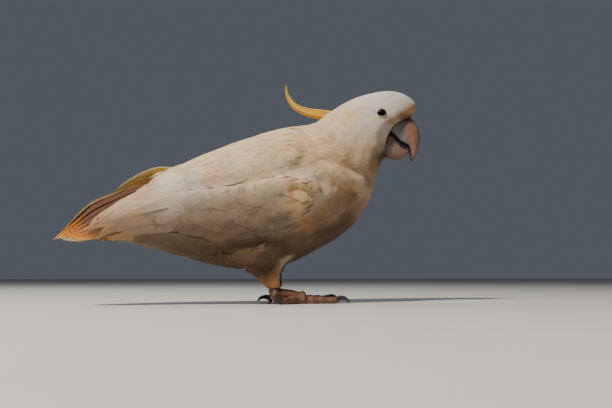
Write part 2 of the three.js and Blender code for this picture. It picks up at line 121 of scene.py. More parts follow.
def mesh_object(name, points, faces, material, uv=None, tone=None, normals=None):
    """A smooth mesh from points in mm and faces of 3 or 4 corners, riding on the bird.

    uv, tone and normals hold a row for each point, and normals may hold one for each corner."""
    corners = np.concatenate([np.asarray(f).ravel() for f in faces]).astype(np.int32)
    totals = np.concatenate([np.full(len(f), np.asarray(f).shape[1]) for f in faces])
    starts = np.concatenate([[0], np.cumsum(totals)[:-1]])
    mesh = bpy.data.meshes.new(name)
    mesh.vertices.add(len(points))
    mesh.vertices.foreach_set("co", (np.asarray(points) * MM).astype(np.float32).ravel())
    mesh.loops.add(len(corners))
    mesh.loops.foreach_set("vertex_index", corners)
    mesh.polygons.add(len(totals))
    mesh.polygons.foreach_set("loop_start", starts.astype(np.int32))
    mesh.polygons.foreach_set("loop_total", totals.astype(np.int32))
    mesh.polygons.foreach_set("use_smooth", np.ones(len(totals), bool))
    mesh.update(calc_edges=True)
    if uv is not None:
        layer = mesh.uv_layers.new(name="OFBake")
        layer.data.foreach_set("uv", np.asarray(uv)[corners].astype(np.float32).ravel())
    if tone is not None:
        layer = mesh.attributes.new("tone", "FLOAT_COLOR", "POINT")
        layer.data.foreach_set("color", np.asarray(tone).astype(np.float32).ravel())
    if normals is not None:
        rows = normals if len(normals) == len(corners) else np.asarray(normals)[corners]
        mesh.normals_split_custom_set(unit(rows).tolist())
    made = in_scene(name, mesh)
    mesh.materials.append(material)
    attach(made, "root")
    return made


def end_caps(rings, columns):
    """Triangles that close the first and the last ring of a closed grid."""
    last = (rings - 1) * columns
    ends = [[0, k + 1, k] for k in range(1, columns - 1)]
    return np.array(ends + [[last, last + k, last + k + 1] for k in range(1, columns - 1)])


def halved(quads):
    """Each quad as two triangles."""
    return np.concatenate([quads[:, :3], quads[:, [0, 2, 3]]])


def joined(parts):
    """Several meshes as one. Each part holds its points, and then one or more arrays of faces."""
    starts = np.cumsum([0] + [len(part[0]) for part in parts[:-1]])
    faces = [np.concatenate([f + start for f, start in zip(column, starts)])
             for column in list(zip(*parts))[1:]]
    return np.concatenate([part[0] for part in parts]), *faces


def turn_outwards(made):
    """Turns all the faces of a closed mesh outwards."""
    work = bmesh.new()
    work.from_mesh(made.data)
    bmesh.ops.recalc_face_normals(work, faces=work.faces)
    work.to_mesh(made.data)
    work.free()


def kd_tree(points):
    tree = KDTree(len(points))
    for i, p in enumerate(points.tolist()):
        tree.insert(p, i)
    tree.balance()
    return tree


def box_middle(node):
    low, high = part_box(node)
    return (np.array(low) + np.array(high)) / 2 / MM


# ---------------------------------------------------------------- places on the bird
# The head's frame is found from the two eyeballs, and the body's from the neck's pivot.
EYE_AHEAD = 27.2  # from the vertical axis that the head turns about to the eyes
PIVOT_X = 60  # x of that axis in the body's frame, whose origin is over the feet
EYE_MIDDLE = {word: box_middle(f"eye_{word}") for word, _ in SIDES}
EYE_RADIUS = 6
SIDEWAYS = unit(EYE_MIDDLE["left"] - EYE_MIDDLE["right"])
AHEAD = np.array([SIDEWAYS[1], -SIDEWAYS[0], 0])
PIVOT = ((EYE_MIDDLE["left"] + EYE_MIDDLE["right"]) / 2 - EYE_AHEAD * AHEAD) * [1, 1, 0]
ORIGIN = PIVOT - [PIVOT_X, 0, 0]


def in_head(ahead, side, z):
    ahead, side, z = np.broadcast_arrays(ahead, side, z)
    return PIVOT + ahead[..., None] * AHEAD + side[..., None] * SIDEWAYS + z[..., None] * UP


def in_body(x, y, z):
    return ORIGIN + np.stack(np.broadcast_arrays(x, y, z), -1)


def head_axes(points):
    """How far ahead, to the left and up points are, in the head's frame."""
    off = np.asarray(points) - PIVOT
    return off @ AHEAD, off @ SIDEWAYS, off[..., 2]


# The spine from the base of the bill to the tail, which gives the coat its lie.
SPINE = np.concatenate([
    in_head([60, 44, 30, 14], 0, [179, 183, 186, 179]),
    in_body([57, 44, 22, -12, -55, -100, -150, -200, -240], 0, [163, 150, 134, 118, 105, 94, 82, 68, 58]),
])
SPINE_STEPS = np.linalg.norm(np.diff(SPINE, axis=0), axis=1)
SPINE_LENGTH = float(SPINE_STEPS.sum())
_marks = np.concatenate([[0], np.cumsum(SPINE_STEPS)])
SPINE_PLACE = np.linspace(0, SPINE_LENGTH, 60)
SPINE_POINTS = np.stack([np.interp(SPINE_PLACE, _marks, SPINE[:, k]) for k in range(3)], -1)
SPINE_WAY = unit(np.gradient(SPINE_POINTS, axis=0))
SPINE_BLUR = 20.0  # how far apart two parts of the spine may be and still share a point
HEAD_ENDS = 62  # places on the spine, in mm from the bill
NECK_ENDS = 104
BILL_ROOT = in_head(58.0, 0.0, 178.0)

LEG_OUT = 24
LEG_LEAN = 0.45  # how far the leg leans back for each mm of height
FEET_X = {"right": -11.0, "left": 11.4}
ANKLE_BACK, ANKLE_HEIGHT, BALL_HEIGHT = 25, 10.5, 5.4
ANKLE = {w: in_body(FEET_X[w] - ANKLE_BACK, s * LEG_OUT, ANKLE_HEIGHT) for w, s in SIDES}
BALL = {w: in_body(FEET_X[w], s * LEG_OUT, BALL_HEIGHT) for w, s in SIDES}


def on_spine(points):
    """Each point's place along the spine, in mm, and the spine's direction there."""
    gaps = np.linalg.norm(points[:, None] - SPINE_POINTS[None], axis=2)
    nearest = gaps.min(1, keepdims=True)
    share = np.exp(-((gaps**2 - nearest**2) / (2 * SPINE_BLUR**2)))
    share /= share.sum(1, keepdims=True)
    return share @ SPINE_PLACE, unit(share @ SPINE_WAY)


def in_leg(points):
    """1 on the feathered legs and 0 on the body."""
    total = np.zeros(len(points))
    for word, _ in SIDES:
        off = points - ANKLE[word]
        beside = np.hypot((off[:, 0] - 2 + LEG_LEAN * np.maximum(off[:, 2] - 8, 0)) / 1.3, off[:, 1])
        total += (1 - ramp(14, 24, beside)) * (1 - ramp(20, 40, off[:, 2]))
    return np.clip(total, 0, 1)


DOWN_THE_LEG = np.array([0.1, 0, -1.0])


def lie(points):
    """The direction that feathers point in, before it is laid on the surface."""
    _, way = on_spine(points)
    off = points - BILL_ROOT
    near = 1 - ramp(18, 48, np.linalg.norm(off, axis=1))
    way = unit(mix(way, unit(off), near[:, None]))
    return unit(mix(way, DOWN_THE_LEG, in_leg(points)[:, None]))


# ---------------------------------------------------------------- surfaces
class Surface:
    """A mesh to set things on, with its smooth normal at the nearest point."""

    def __init__(self, points, triangles):
        self.points = np.asarray(points, float)
        self.triangles = np.asarray(triangles)
        a, b, c = (self.points[self.triangles[:, k]] for k in range(3))
        cross = np.cross(b - a, c - a)
        self.areas = np.linalg.norm(cross, axis=1) / 2
        normals = np.zeros_like(self.points)
        for k in range(3):
            np.add.at(normals, self.triangles[:, k], cross)
        self.normals = unit(normals)
        self.tree = BVHTree.FromPolygons(self.points.tolist(), self.triangles.tolist())

    def nearest(self, where):
        found = [self.tree.find_nearest(p) for p in where.tolist()]
        spots = np.array([f[0] for f in found])
        corners = self.triangles[np.array([f[2] for f in found])]
        a, b, c = (self.points[corners[:, k]] for k in range(3))
        whole = np.cross(b - a, c - a)
        size = np.maximum((whole**2).sum(1), 1e-12)
        u = (np.cross(c - b, spots - b) * whole).sum(1) / size
        v = (np.cross(a - c, spots - c) * whole).sum(1) / size
        shares = np.clip(np.stack([u, v, 1 - u - v], -1), 0, 1)
        return spots, unit((self.normals[corners] * shares[..., None]).sum(1))

    def gap(self, where):
        return np.array([self.tree.find_nearest(p)[3] for p in where.tolist()])


def points_and_triangles(mesh):
    """A Blender mesh's points, in mm, and its triangles."""
    points = np.empty(3 * len(mesh.vertices))
    mesh.vertices.foreach_get("co", points)
    mesh.calc_loop_triangles()
    triangles = np.empty(3 * len(mesh.loop_triangles), int)
    mesh.loop_triangles.foreach_get("vertices", triangles)
    return points.reshape(-1, 3) / MM, triangles.reshape(-1, 3)


def node_surface(*names):
    """The CAD nodes as one surface, each welded where its faces meet."""
    parts = []
    for name in names:
        points, triangles = points_and_triangles(NODES[name].data)
        welded, back = np.unique(np.round(points, 3), axis=0, return_inverse=True)
        parts.append((welded, back.ravel()[triangles]))
    return Surface(*joined(parts))


def remeshed(points, triangles, voxel, rounds):
    """One smooth closed surface round overlapping closed ones."""
    mesh = bpy.data.meshes.new("rough")
    mesh.from_pydata((points * MM).tolist(), [], triangles.tolist())
    rough = in_scene("rough", mesh)
    melt = rough.modifiers.new("melt", "REMESH")
    melt.mode = "VOXEL"
    melt.voxel_size = voxel * MM
    soften = rough.modifiers.new("soften", "SMOOTH")
    soften.factor = 0.5
    soften.iterations = rounds
    finished = rough.evaluated_get(bpy.context.evaluated_depsgraph_get())
    made = points_and_triangles(finished.to_mesh())
    finished.to_mesh_clear()
    bpy.data.objects.remove(rough)
    bpy.data.meshes.remove(mesh)
    return largest_part(*made)


def largest_part(points, triangles):
    """The largest connected part of a mesh, without closed pockets inside it."""
    label = np.arange(len(points))
    while True:
        lowest = label[triangles].min(1)
        new = label.copy()
        for k in range(3):
            np.minimum.at(new, triangles[:, k], lowest)
        new = new[new]
        if (new == label).all():
            break
        label = new
    names, sizes = np.unique(label, return_counts=True)
    kept = label == names[sizes.argmax()]
    index = np.cumsum(kept) - 1
    return points[kept], index[triangles[kept[triangles[:, 0]]]]


# ---------------------------------------------------------------- skin
FLESH = ["trunk", "neck", "head"] + [
    f"{part}_{word}_{row}"
    for word, _ in SIDES
    for part, row in (("leg", "thigh"), ("wing", "scapulars"), ("wing", "coverts"))
]
SKIN_VOXEL = 1.9
SKIN_SMOOTHING = 10  # rounds
PLUG_GROWN, PLUG_SUNK = 0.6, 0.05  # how far an eye's plug is grown, and moved towards the other eye
CLOSE_GAPS = 0.5  # each solid is grown by this before they are melted together


def coat_depth(points):
    """The coat's depth in mm: how far inside the solids the skin lies."""
    place, _ = on_spine(points)
    depth = np.interp(place, [0, 14, 45, HEAD_ENDS, NECK_ENDS, 150], [0.8, 1.0, 1.2, 1.7, 2.5, 2.8])
    tail = ramp(SPINE_LENGTH - 90, SPINE_LENGTH - 30, place)
    depth = mix(depth, 2.0, tail)
    leg = in_leg(points)
    low = ramp(22, 45, points[:, 2])
    return mix(depth, mix(1.2, 2.2, low), leg)


# Folds of the plumage: places in the body's frame with y to the right side, reach across the
# fold, and how far it stands out or, below 0, how far it is pressed in.
FOLDS = [
    ([(-32, 57, 104.5), (-18, 57, 104.5), (-6, 56, 99)], 3.8, -2.6),
    ([(-38, 56, 112), (-24, 57, 112), (-8, 56, 106)], 7.0, 1.6),
    ([(-6, 54, 92), (-4, 47, 80), (-14, 43, 70), (-32, 40, 62)], 4.8, -2.0),  # the wing's front edge
    ([(-22, 55, 92), (-18, 50, 80), (-28, 46, 70)], 6.0, 1.3),
    ([(-8, 24, 170), (-1, 50, 137), (27, 48, 131), (45, 41, 126), (65, 30, 122), (75, 10, 123)], 6.0, -2.5),
    ([(10, 53, 122), (36, 46, 118), (56, 36, 114)], 8.0, 1.7),
    ([(14, 51, 112), (30, 46, 110), (42, 42, 108)], 4.5, -1.8),
    ([(26, 47, 103), (29, 41, 88)], 5.0, -1.6),
    ([(6, 52, 100), (10, 46, 84)], 7.0, 1.2),
    ([(-60, 49, 112), (-94, 45, 109), (-121, 39, 106)], 5.0, -1.0),
    ([(-40, 40, 60), (-75, 40, 56)], 7.0, -1.0),
]


LUMPS = ((0.36, 17, 71), (0.12, 8, 72))  # their height, width and seed
LUMP_STRETCH = [0.5, 1, 1]  # so that they are long along the body
PRESSED = 0.4  # how far the body's skin is lowered, to leave room for the lumps


def near_line(points, line):
    """How far each point is from a broken line."""
    least = np.full(len(points), 1e9)
    for a, b in zip(line[:-1], line[1:]):
        run = b - a
        share = np.clip(((points - a) @ run) / (run @ run), 0, 1)
        least = np.minimum(least, np.linalg.norm(points - a - share[:, None] * run, axis=1))
    return least


def relief(points):
    """How far the plumage's folds and soft lumps raise the skin, in mm."""
    place, _ = on_spine(points)
    body = ramp(HEAD_ENDS - 15, NECK_ENDS, place)
    lumps = sum(height * ripple(points * LUMP_STRETCH, wave, seed) for height, wave, seed in LUMPS)
    total = lumps * mix(0.3, 1, body) * (1 - 0.6 * in_leg(points))
    for line, reach, height in FOLDS:
        for side in (-1, 1):
            marks = in_body(*(np.array(line, float) * [1, side, 1]).T)
            total += height * bell(near_line(points, marks), reach)
    return total - PRESSED * body


def make_skin():
    """The bird's body under its coat, as points and triangles."""
    flesh = node_surface(*FLESH)
    parts = [(flesh.points + flesh.normals * CLOSE_GAPS, flesh.triangles)]
    for word, side in SIDES:  # plugs for the eye sockets, which the lids cover
        ball = node_surface(f"eye_{word}")
        inward = (EYE_MIDDLE["left"] - EYE_MIDDLE["right"]) * (-side * PLUG_SUNK)
        parts.append((ball.points + ball.normals * PLUG_GROWN + inward, ball.triangles))
    points, triangles = remeshed(*joined(parts), SKIN_VOXEL, SKIN_SMOOTHING)
    outer = Surface(points, triangles)
    inward = coat_depth(points) + CLOSE_GAPS - relief(points)
    return Surface(points - outer.normals * inward[:, None], triangles)


SKIN = make_skin()


# ---------------------------------------------------------------- feathers
class Vane:
    """How a kind of feather is made: a thin closed leaf of rings along it and columns across it.

    narrow and blunt are its widths at the root and at the tip, as shares of the greatest one, which
    it has at widest. round_tip, camber and shaft say how far its tip is rounded, how far it is
    arched across, and how far the shaft is raised."""

    def __init__(self, rings, columns_at, narrow, widest, blunt, round_tip, camber, shaft=0.0):
        self.rings = rings
        self.columns_at = np.array(columns_at)
        self.narrow, self.widest, self.blunt = narrow, widest, blunt
        self.round_tip, self.camber, self.shaft = round_tip, camber, shaft
        columns = len(self.columns_at)
        self.top = grid_faces(rings, columns)[:, ::-1]
        inner = np.zeros((rings, columns), bool)
        inner[1:-1, 1:-1] = True
        self.inner = np.flatnonzero(inner)
        under = np.arange(rings * columns)
        under[self.inner] = rings * columns + np.arange(len(self.inner))
        self.under = under[self.top[:, ::-1]]

    def half_width(self, v):
        """The share of its greatest half width that a vane has at v, from root to tip."""
        out = self.narrow + (1 - self.narrow) * np.sin(math.pi / 2 * np.clip(v / self.widest, 0, 1))
        past = np.clip((v - self.widest) / (1 - self.widest), 0, 1)
        return out * np.sqrt(1 - (past * math.sqrt(1 - self.blunt**2)) ** 2)


VANE_THICK = 0.12
EDGES_FALL = 0.06  # how far a vane's edges fall below its shaft, as a share of its width
SHAFT_WIDE = 0.08  # width of the raised shaft, as a share of the vane's
PATCH = 0.003  # size of a small feather's own patch of the map
EDGE_TURN = 0.80  # cosine of the turn, and share of a step's drop, that a feather doesn't follow
EDGE_DROP = 0.62
YAW = 0.08  # how far, in radians, feathers are turned at random
FOLLOWS = 0.3  # how quickly a feather bends to the lie of the coat under it
DROOP = 0.06  # how far a feather sinks, for each mm that it runs on past an edge
TIP_DIP = 0.018  # how far its end dips, as a share of its length
UNEVEN = 0.004  # how much its height varies at random, as a share of its length
HUG_ARCH = 0.4  # how far a feather that hugs the surface is arched across
LET_GO = (0.8, 3.0)  # how far off the surface, in mm, a hugging feather starts and ends to leave it
LET_GO_TURN = (0.9, 0.6)  # the same for the cosine of how far the surface turns away from it
MOST_FOLDED = 0.55  # the largest share of a feather's points that may be folded over
STANDS_OFF = 3.2  # a feather whose tip would end further than this from the skin is left out


def leaf(vane, path, normals, ways, halves, lift, length, rng, softness, ragged,
         thick=VANE_THICK, drape=None):
    """Vanes along paths. Each array has a row for each feather and a column for each ring.

    halves holds the half width to the left and to the right of the shaft, and lift is how far
    the shaft stands over the path. drape, if given, lays the finished grids on a surface."""
    many, rings = lift.shape
    v = np.linspace(0, 1, rings)
    u = vane.columns_at
    columns = len(u)
    rough_end = rng.normal(0, ragged, (many, 1, columns)) * ramp(0.5, 1, v)[None, :, None]
    short = vane.round_tip * (u**2)[None, None] * ramp(0.3, 1, v)[None, :, None] - rough_end
    across = np.cross(normals, ways)
    left, right = halves
    width = np.where(u > 0, left[..., None], right[..., None]) * np.abs(u)
    points = (path + normals * lift[..., None])[:, :, None]
    points = points + across[:, :, None] * (width * np.sign(u))[..., None]
    points = points - ways[:, :, None] * (short * v[:, None] * length[:, None, None])[..., None]
    middle = (left + right)[..., None] / 2
    dome = middle * (vane.camber * (1 - u**2) - EDGES_FALL * np.abs(u)) + vane.shaft * bell(u, SHAFT_WIDE)
    points = points + normals[:, :, None] * dome[..., None]
    facing = np.broadcast_to(normals[:, :, None], points.shape)
    if drape:
        points, facing = drape(points)
    own = unit(np.cross(np.gradient(points, axis=1), np.gradient(points, axis=2)))
    own *= np.sign((own * facing).sum(-1, keepdims=True))
    shown = unit(mix(own, facing, softness))
    tone = np.empty((many, rings, columns, 4))
    tone[..., 0] = rng.uniform(0, 1, many)[:, None, None]
    tone[..., 1] = v[None, :, None]
    tone[..., 2] = 0.5 + 0.5 * u
    tone[..., 3] = 1.0
    patch = np.empty((many, rings, columns, 2))
    patch[..., 0] = u / 2
    patch[..., 1] = v[:, None] - 0.5
    lowered = points - facing * thick

    def both(top, below=None):
        """The upper face's values, followed by those of the lower face's inner points."""
        flat = top.reshape(many, rings * columns, -1)
        below = flat if below is None else below.reshape(flat.shape)
        return np.concatenate([flat, below[:, vane.inner]], axis=1)

    underside = tone * [1, 1, 1, 0]

    return {
        "points": both(points, lowered),
        "normals": both(shown),
        "tone": both(tone, underside),
        "patch": both(patch) * PATCH,
        "roots": path[:, 0],
    }


def grow(surface, roots, vane, size, seed, softness, ragged, slope, edges=True, hug=False):
    """Feathers from roots on a surface.

    size holds each feather's length, half width and the depth of coat that its tip reaches. slope
    is how much lower its root lies, as a share of its length. Where edges is set, a feather runs
    straight on past an edge of the surface, and where hug is, all of it is laid on the surface."""
    rng = np.random.default_rng(seed)
    length, half, depth = size
    many, rings = len(roots), vane.rings
    spots, normals = surface.nearest(roots)
    heading = lie(roots)
    yaw = rng.normal(0, YAW, many)[:, None]
    heading = heading + np.cross(normals, heading) * yaw
    path, path_normals, path_way = [], [], []
    free = np.zeros(many, bool)  # past an edge of the form, where a feather runs straight on
    step = (length / (rings - 1))[:, None]
    for r in range(rings):
        heading = unit(heading - (heading * normals).sum(1, keepdims=True) * normals)
        path.append(spots)
        path_normals.append(normals)
        path_way.append(heading)
        if r + 1 < rings:
            straight = spots + heading * step
            found, found_normals = surface.nearest(straight)
            turn = (found_normals * normals).sum(1)
            drop = np.linalg.norm(found - straight, axis=1) / step[:, 0]
            free |= edges & ((turn < EDGE_TURN) | (drop > EDGE_DROP))
            spots = np.where(free[:, None], straight - normals * DROOP * step, found)
            normals = np.where(free[:, None], normals, found_normals)
            heading = np.where(free[:, None], heading, unit(mix(heading, lie(spots), FOLLOWS)))
    path, path_normals, path_way = (np.stack(a, 1) for a in (path, path_normals, path_way))
    near = (surface.gap(path[:, -1]) < STANDS_OFF) | (hug & edges)
    path, path_normals, path_way = path[near], path_normals[near], path_way[near]
    length, half, depth, many = length[near], half[near], depth[near], int(near.sum())
    v = np.linspace(0, 1, rings)
    width = half[:, None] * vane.half_width(v)[None]
    out = depth[:, None] + rng.normal(0, UNEVEN, many)[:, None] * length[:, None]
    dip = TIP_DIP * length[:, None] * ramp(0.8, 1, v)
    lift = (out - slope * length[:, None] * (1 - v)) * mix(0.15, 1, ramp(-0.1, 0.3, v)) - dip

    def hugging(points):
        """The feathers pressed onto the surface, except where they run on past an edge of it."""
        spots, normals = surface.nearest(points.reshape(-1, 3))
        spots, normals = spots.reshape(points.shape), normals.reshape(points.shape)
        height = lift[..., None] + HUG_ARCH * (1 - vane.columns_at**2)
        off = np.linalg.norm(points - spots, axis=-1) - height
        facing = np.broadcast_to(path_normals[:, :, None], points.shape)
        turned = ramp(*LET_GO_TURN, (normals * facing).sum(-1))
        loose = np.maximum(ramp(*LET_GO, off), turned)[..., None]
        return mix(spots + normals * height[..., None], points, loose), unit(mix(normals, facing, loose))

    grown = leaf(vane, path, path_normals, path_way, (width, width), lift, length, rng, softness,
                 ragged, drape=hugging if hug else None)
    grid = grown["points"][:, :rings * len(vane.columns_at)].reshape(many, rings, -1, 3)
    facing = np.cross(np.gradient(grid, axis=1), np.gradient(grid, axis=2))
    folded = ((facing * path_normals[:, :, None]).sum(-1) < 0).mean((1, 2))
    whole = folded < MOST_FOLDED
    return {key: rows[whole] for key, rows in grown.items()}


def feather_object(name, vane, grown, material, unwrap):
    """All the feathers of one kind in one region as one mesh."""
    many, each = grown["points"].shape[:2]
    first = (np.arange(many) * each)[:, None, None]
    top = (vane.top[None] + first).reshape(-1, 4)
    under = (vane.under[None] + first).reshape(-1, 4)
    own = grown["normals"].reshape(-1, 3)
    normals = np.concatenate([own[top.ravel()], -own[under.ravel()]])
    uv = grown["patch"]
    if unwrap:
        uv = unwrap(grown["roots"])[:, None] + uv
    return mesh_object(
        name,
        grown["points"].reshape(-1, 3),
        [top, under],
        material,
        uv=uv.reshape(-1, 2),
        tone=grown["tone"].reshape(-1, 4),
        normals=normals,
    )


LEG_TOP = 70


def on_map(share):
    """A share of the map's width or height, with a narrow margin at each end."""
    return 0.02 + 0.96 * share


def body_unwrap(points):
    """The skin opened out along its spine: place along it, and angle round it from the belly."""
    place, way = on_spine(points)
    index = np.clip((place / SPINE_LENGTH * (len(SPINE_POINTS) - 1)).round().astype(int), 0, 59)
    off = points - SPINE_POINTS[index]
    left = unit(np.cross(UP, -way))
    above = np.cross(-way, left)
    angle = np.arctan2((off * left).sum(1), -(off * above).sum(1))
    return np.stack([on_map(place / SPINE_LENGTH), on_map(0.5 + 0.5 * angle / math.pi)], -1)


def leg_unwrap(points):
    """The skin of the legs opened out: height along it, and angle round each leg."""
    left = points[:, 1] > 0
    off = points - np.where(left[:, None], ANKLE["left"], ANKLE["right"])
    angle = np.arctan2(off[:, 1], off[:, 0] + LEG_LEAN * off[:, 2]) / math.pi
    across = 0.25 + 0.23 * angle + 0.5 * left
    return np.stack([across, on_map(np.clip(points[:, 2] / LEG_TOP, 0, 1))], -1)


TRIES = 7  # places tried for each one that there is room for
CLOSEST = 0.86  # how close two places may be, as a share of their spacing


def spread(surface, spacing, seed):
    """Points on a surface, as evenly as they can be spread, spacing(points) mm apart.

    Where spacing is 0 there are none."""
    rng = np.random.default_rng(seed)
    middles = surface.points[surface.triangles].mean(1)
    gap = spacing(middles)
    weight = np.where(gap > 0, surface.areas / np.maximum(gap, 0.1) ** 2, 0)
    tries = int(TRIES * weight.sum())
    chosen = rng.choice(len(weight), tries, p=weight / weight.sum())
    a, b = np.sqrt(rng.uniform(size=tries)), rng.uniform(size=tries)
    shares = np.stack([1 - a, a * (1 - b), a * b], -1)
    spots = (surface.points[surface.triangles[chosen]] * shares[..., None]).sum(1)
    gap = gap[chosen]
    tree = kd_tree(spots)
    free = np.ones(tries, bool)
    kept = []
    for i in range(tries):
        if not free[i]:
            continue
        kept.append(i)
        for _, j, _ in tree.find_range(spots[i], gap[i] * CLOSEST):
            free[j] = False
    return spots[kept]


# ---------------------------------------------------------------- materials
class Shader:
    """A node material, built a node at a time. Sizes are in metres, as the bird's are."""

    def __init__(self, name, **sockets):
        self.material = bpy.data.materials.new(name)
        self.material.use_nodes = True
        self.nodes = self.material.node_tree.nodes
        self.links = self.material.node_tree.links
        self.surface = self.nodes["Principled BSDF"]
        for key, value in sockets.items():
            self.surface.inputs[key.replace("_", " ")].default_value = value
        self.place = self.add("ShaderNodeTexCoord").outputs["Object"]

    def add(self, kind, inputs=(), **settings):
        node = self.nodes.new(kind)
        for key, value in settings.items():
            setattr(node, key, value)
        for key, value in dict(inputs).items():
            self.put(node.inputs[key], value)
        return node

    def put(self, socket, value):
        if isinstance(value, bpy.types.NodeSocket):
            self.links.new(value, socket)
        elif isinstance(value, (tuple, list)) and len(value) == 3 and socket.type == "RGBA":
            socket.default_value = (*value, 1)
        else:
            socket.default_value = value

    def math(self, operation, a, b=0.0, c=0.0):
        return self.add("ShaderNodeMath", {0: a, 1: b, 2: c}, operation=operation).outputs[0]

    def ramp(self, value, low, high, to_low=0.0, to_high=1.0):
        inputs = {"Value": value, 1: low, 2: high, 3: to_low, 4: to_high}
        return self.add("ShaderNodeMapRange", inputs, interpolation_type="SMOOTHSTEP").outputs[0]

    def mix(self, share, a, b, kind="MIX"):
        node = self.add("ShaderNodeMix", data_type="RGBA", blend_type=kind)
        for socket, value in zip((node.inputs[0], node.inputs[6], node.inputs[7]), (share, a, b)):
            self.put(socket, value)
        return node.outputs[2]

    def noise(self, size, detail, stretch=None):
        """Noise of about 0 to 1, with features size mm across."""
        where = self.place
        if stretch:
            where = self.add("ShaderNodeMapping", {"Vector": where, "Scale": stretch}).outputs[0]
        inputs = {"Vector": where, "Scale": 1 / (size * MM), "Detail": detail}
        return self.add("ShaderNodeTexNoise", inputs).outputs["Fac"]

    def split(self, vector):
        return self.add("ShaderNodeSeparateXYZ", {0: vector}).outputs

    def tone(self):
        """The three parts of the mesh's tone, and its alpha."""
        found = self.add("ShaderNodeAttribute", attribute_name="tone").outputs
        parts = self.add("ShaderNodeSeparateColor", {0: found["Color"]}).outputs
        return parts[0], parts[1], parts[2], found["Alpha"]

    def tint(self, colour, tint, value, *limits):
        """The colour turned towards tint by a ramp of value."""
        return self.mix(self.ramp(value, *limits), colour, tint)

    def vector(self, operation, a, b=(0, 0, 0), c=(0, 0, 0), number=False):
        node = self.add("ShaderNodeVectorMath", {0: a, 1: b, 2: c}, operation=operation)
        return node.outputs["Value" if number else "Vector"]

    def in_body(self, where):
        """A place on the bird in the body's frame, in metres."""
        return self.vector("SUBTRACT", where, tuple(ORIGIN * MM))

    def in_head(self, where):
        """A place on the bird in the head's frame, in metres: ahead, to the left and up."""
        off = self.vector("SUBTRACT", where, tuple(PIVOT * MM))
        ways = [self.vector("DOT_PRODUCT", off, tuple(way), number=True) for way in (AHEAD, SIDEWAYS, UP)]
        return self.add("ShaderNodeCombineXYZ", dict(enumerate(ways))).outputs[0]

    def wander(self, scale, reach):
        """The place, pushed about by smooth noise, so that what is drawn with it has uneven edges."""
        noise = self.add("ShaderNodeTexNoise", {"Vector": self.place, "Scale": scale, "Detail": 3.0})
        push = self.vector("SUBTRACT", noise.outputs["Color"], (0.5, 0.5, 0.5))
        return self.vector("MULTIPLY_ADD", push, (reach, reach, reach), self.place)

    def bump(self, height, strength, distance):
        inputs = {"Strength": strength, "Distance": distance * MM, "Height": height}
        self.put(self.surface.inputs["Normal"], self.add("ShaderNodeBump", inputs).outputs[0])

    def colour(self, socket):
        self.put(self.surface.inputs["Base Color"], socket)

    def shaded(self, colour, light, *more):
        """Sets the surface's colour, made darker or lighter by the product of the lights."""
        for other in more:
            light = self.math("MULTIPLY", light, other)
        grey = self.add("ShaderNodeCombineColor", {0: light, 1: light, 2: light}).outputs[0]
        self.colour(self.mix(1.0, colour, grey, "MULTIPLY"))

    def off_shaft(self, across):
        """How far from its shaft a place on a feather is, up to 0.5 at either edge."""
        return self.math("ABSOLUTE", self.math("SUBTRACT", across, 0.5))

    def barbs(self, own, along, beside, slant, scale, detail):
        """Fine stripes that slant away from the shaft and differ from feather to feather."""
        comb = {0: self.math("MULTIPLY_ADD", beside, -slant, along), 1: own}
        comb = self.add("ShaderNodeCombineXYZ", comb).outputs[0]
        inputs = {"Vector": comb, "Scale": scale, "Detail": detail}
        return self.add("ShaderNodeTexNoise", inputs).outputs["Fac"]


WHITE = (0.86, 0.64, 0.43)
CREAM = (0.86, 0.545, 0.305)
PEACH = (0.85, 0.45, 0.185)
PALE = (0.84, 0.745, 0.665)
TAN = (0.48, 0.25, 0.115)
# Umber serves both for dirt and for painted shade.
UMBER_DIRT_AND_SHADE = (0.10, 0.05, 0.022)
RUST = (0.66, 0.25, 0.06)
# Dusk is only painted shade.
SHADE_DUSK = (0.30, 0.205, 0.135)

# Stains on the plumage, with painted shade on the lower body and painted light on the lower legs: the middle
# of each in the body's frame with y to either side, its reach along x, y and z, its colour and how strong it
# is.
BODY_STAINS_AND_PAINTED_LIGHT = [
    ((-150, 30, 95), (95, 60, 40), (0.68, 0.58, 0.48), 0.8),
    ((-60, 52, 92), (80, 40, 28), (0.60, 0.41, 0.25), 0.6),
    ((-66, 50, 116), (56, 30, 14), CREAM, 0.6),
    # Painted shade: the whole lower body is darkened.
    ((-60, 0, 24), (330, 190, 104), SHADE_DUSK, 0.97),
    # Painted shade on the lower wing and the flank.
    ((-78, 50, 76), (95, 34, 40), SHADE_DUSK, 0.75),
    # Dirt on the belly, deepened with painted shade.
    ((-60, 0, 10), (310, 150, 95), UMBER_DIRT_AND_SHADE, 0.98),
    # Painted shade under the breast.
    ((44, 30, 58), (74, 80, 62), UMBER_DIRT_AND_SHADE, 0.97),
    # Painted shade on the front of the breast.
    ((66, 20, 98), (36, 60, 36), TAN, 0.5),
    # Painted shade in the fold under the shoulder.
    ((30, 46, 104), (22, 24, 18), UMBER_DIRT_AND_SHADE, 0.6),
    ((16, 50, 86), (26, 22, 26), TAN, 0.6),
    ((-14, 46, 74), (20, 20, 16), RUST, 0.35),
    ((-24, 56, 98), (26, 20, 24), PEACH, 0.7),
    ((-103, 41, 117), (20, 18, 13), PEACH, 0.6),
    ((-172, 33, 76), (12, 14, 9), PEACH, 0.5),
    ((-10, 40, 146), (80, 50, 30), PEACH, 0.5),
    ((24, 50, 122), (34, 30, 34), PEACH, 0.62),
    # An orange stain on the lower leg, made brighter as painted light where the body shades it.
    ((-26, 26, 34), (21, 24, 15), (0.74, 0.55, 0.36), 0.75),
    ((-34, 24, 22), (20, 30, 15), (0.90, 0.42, 0.17), 1.0),
]
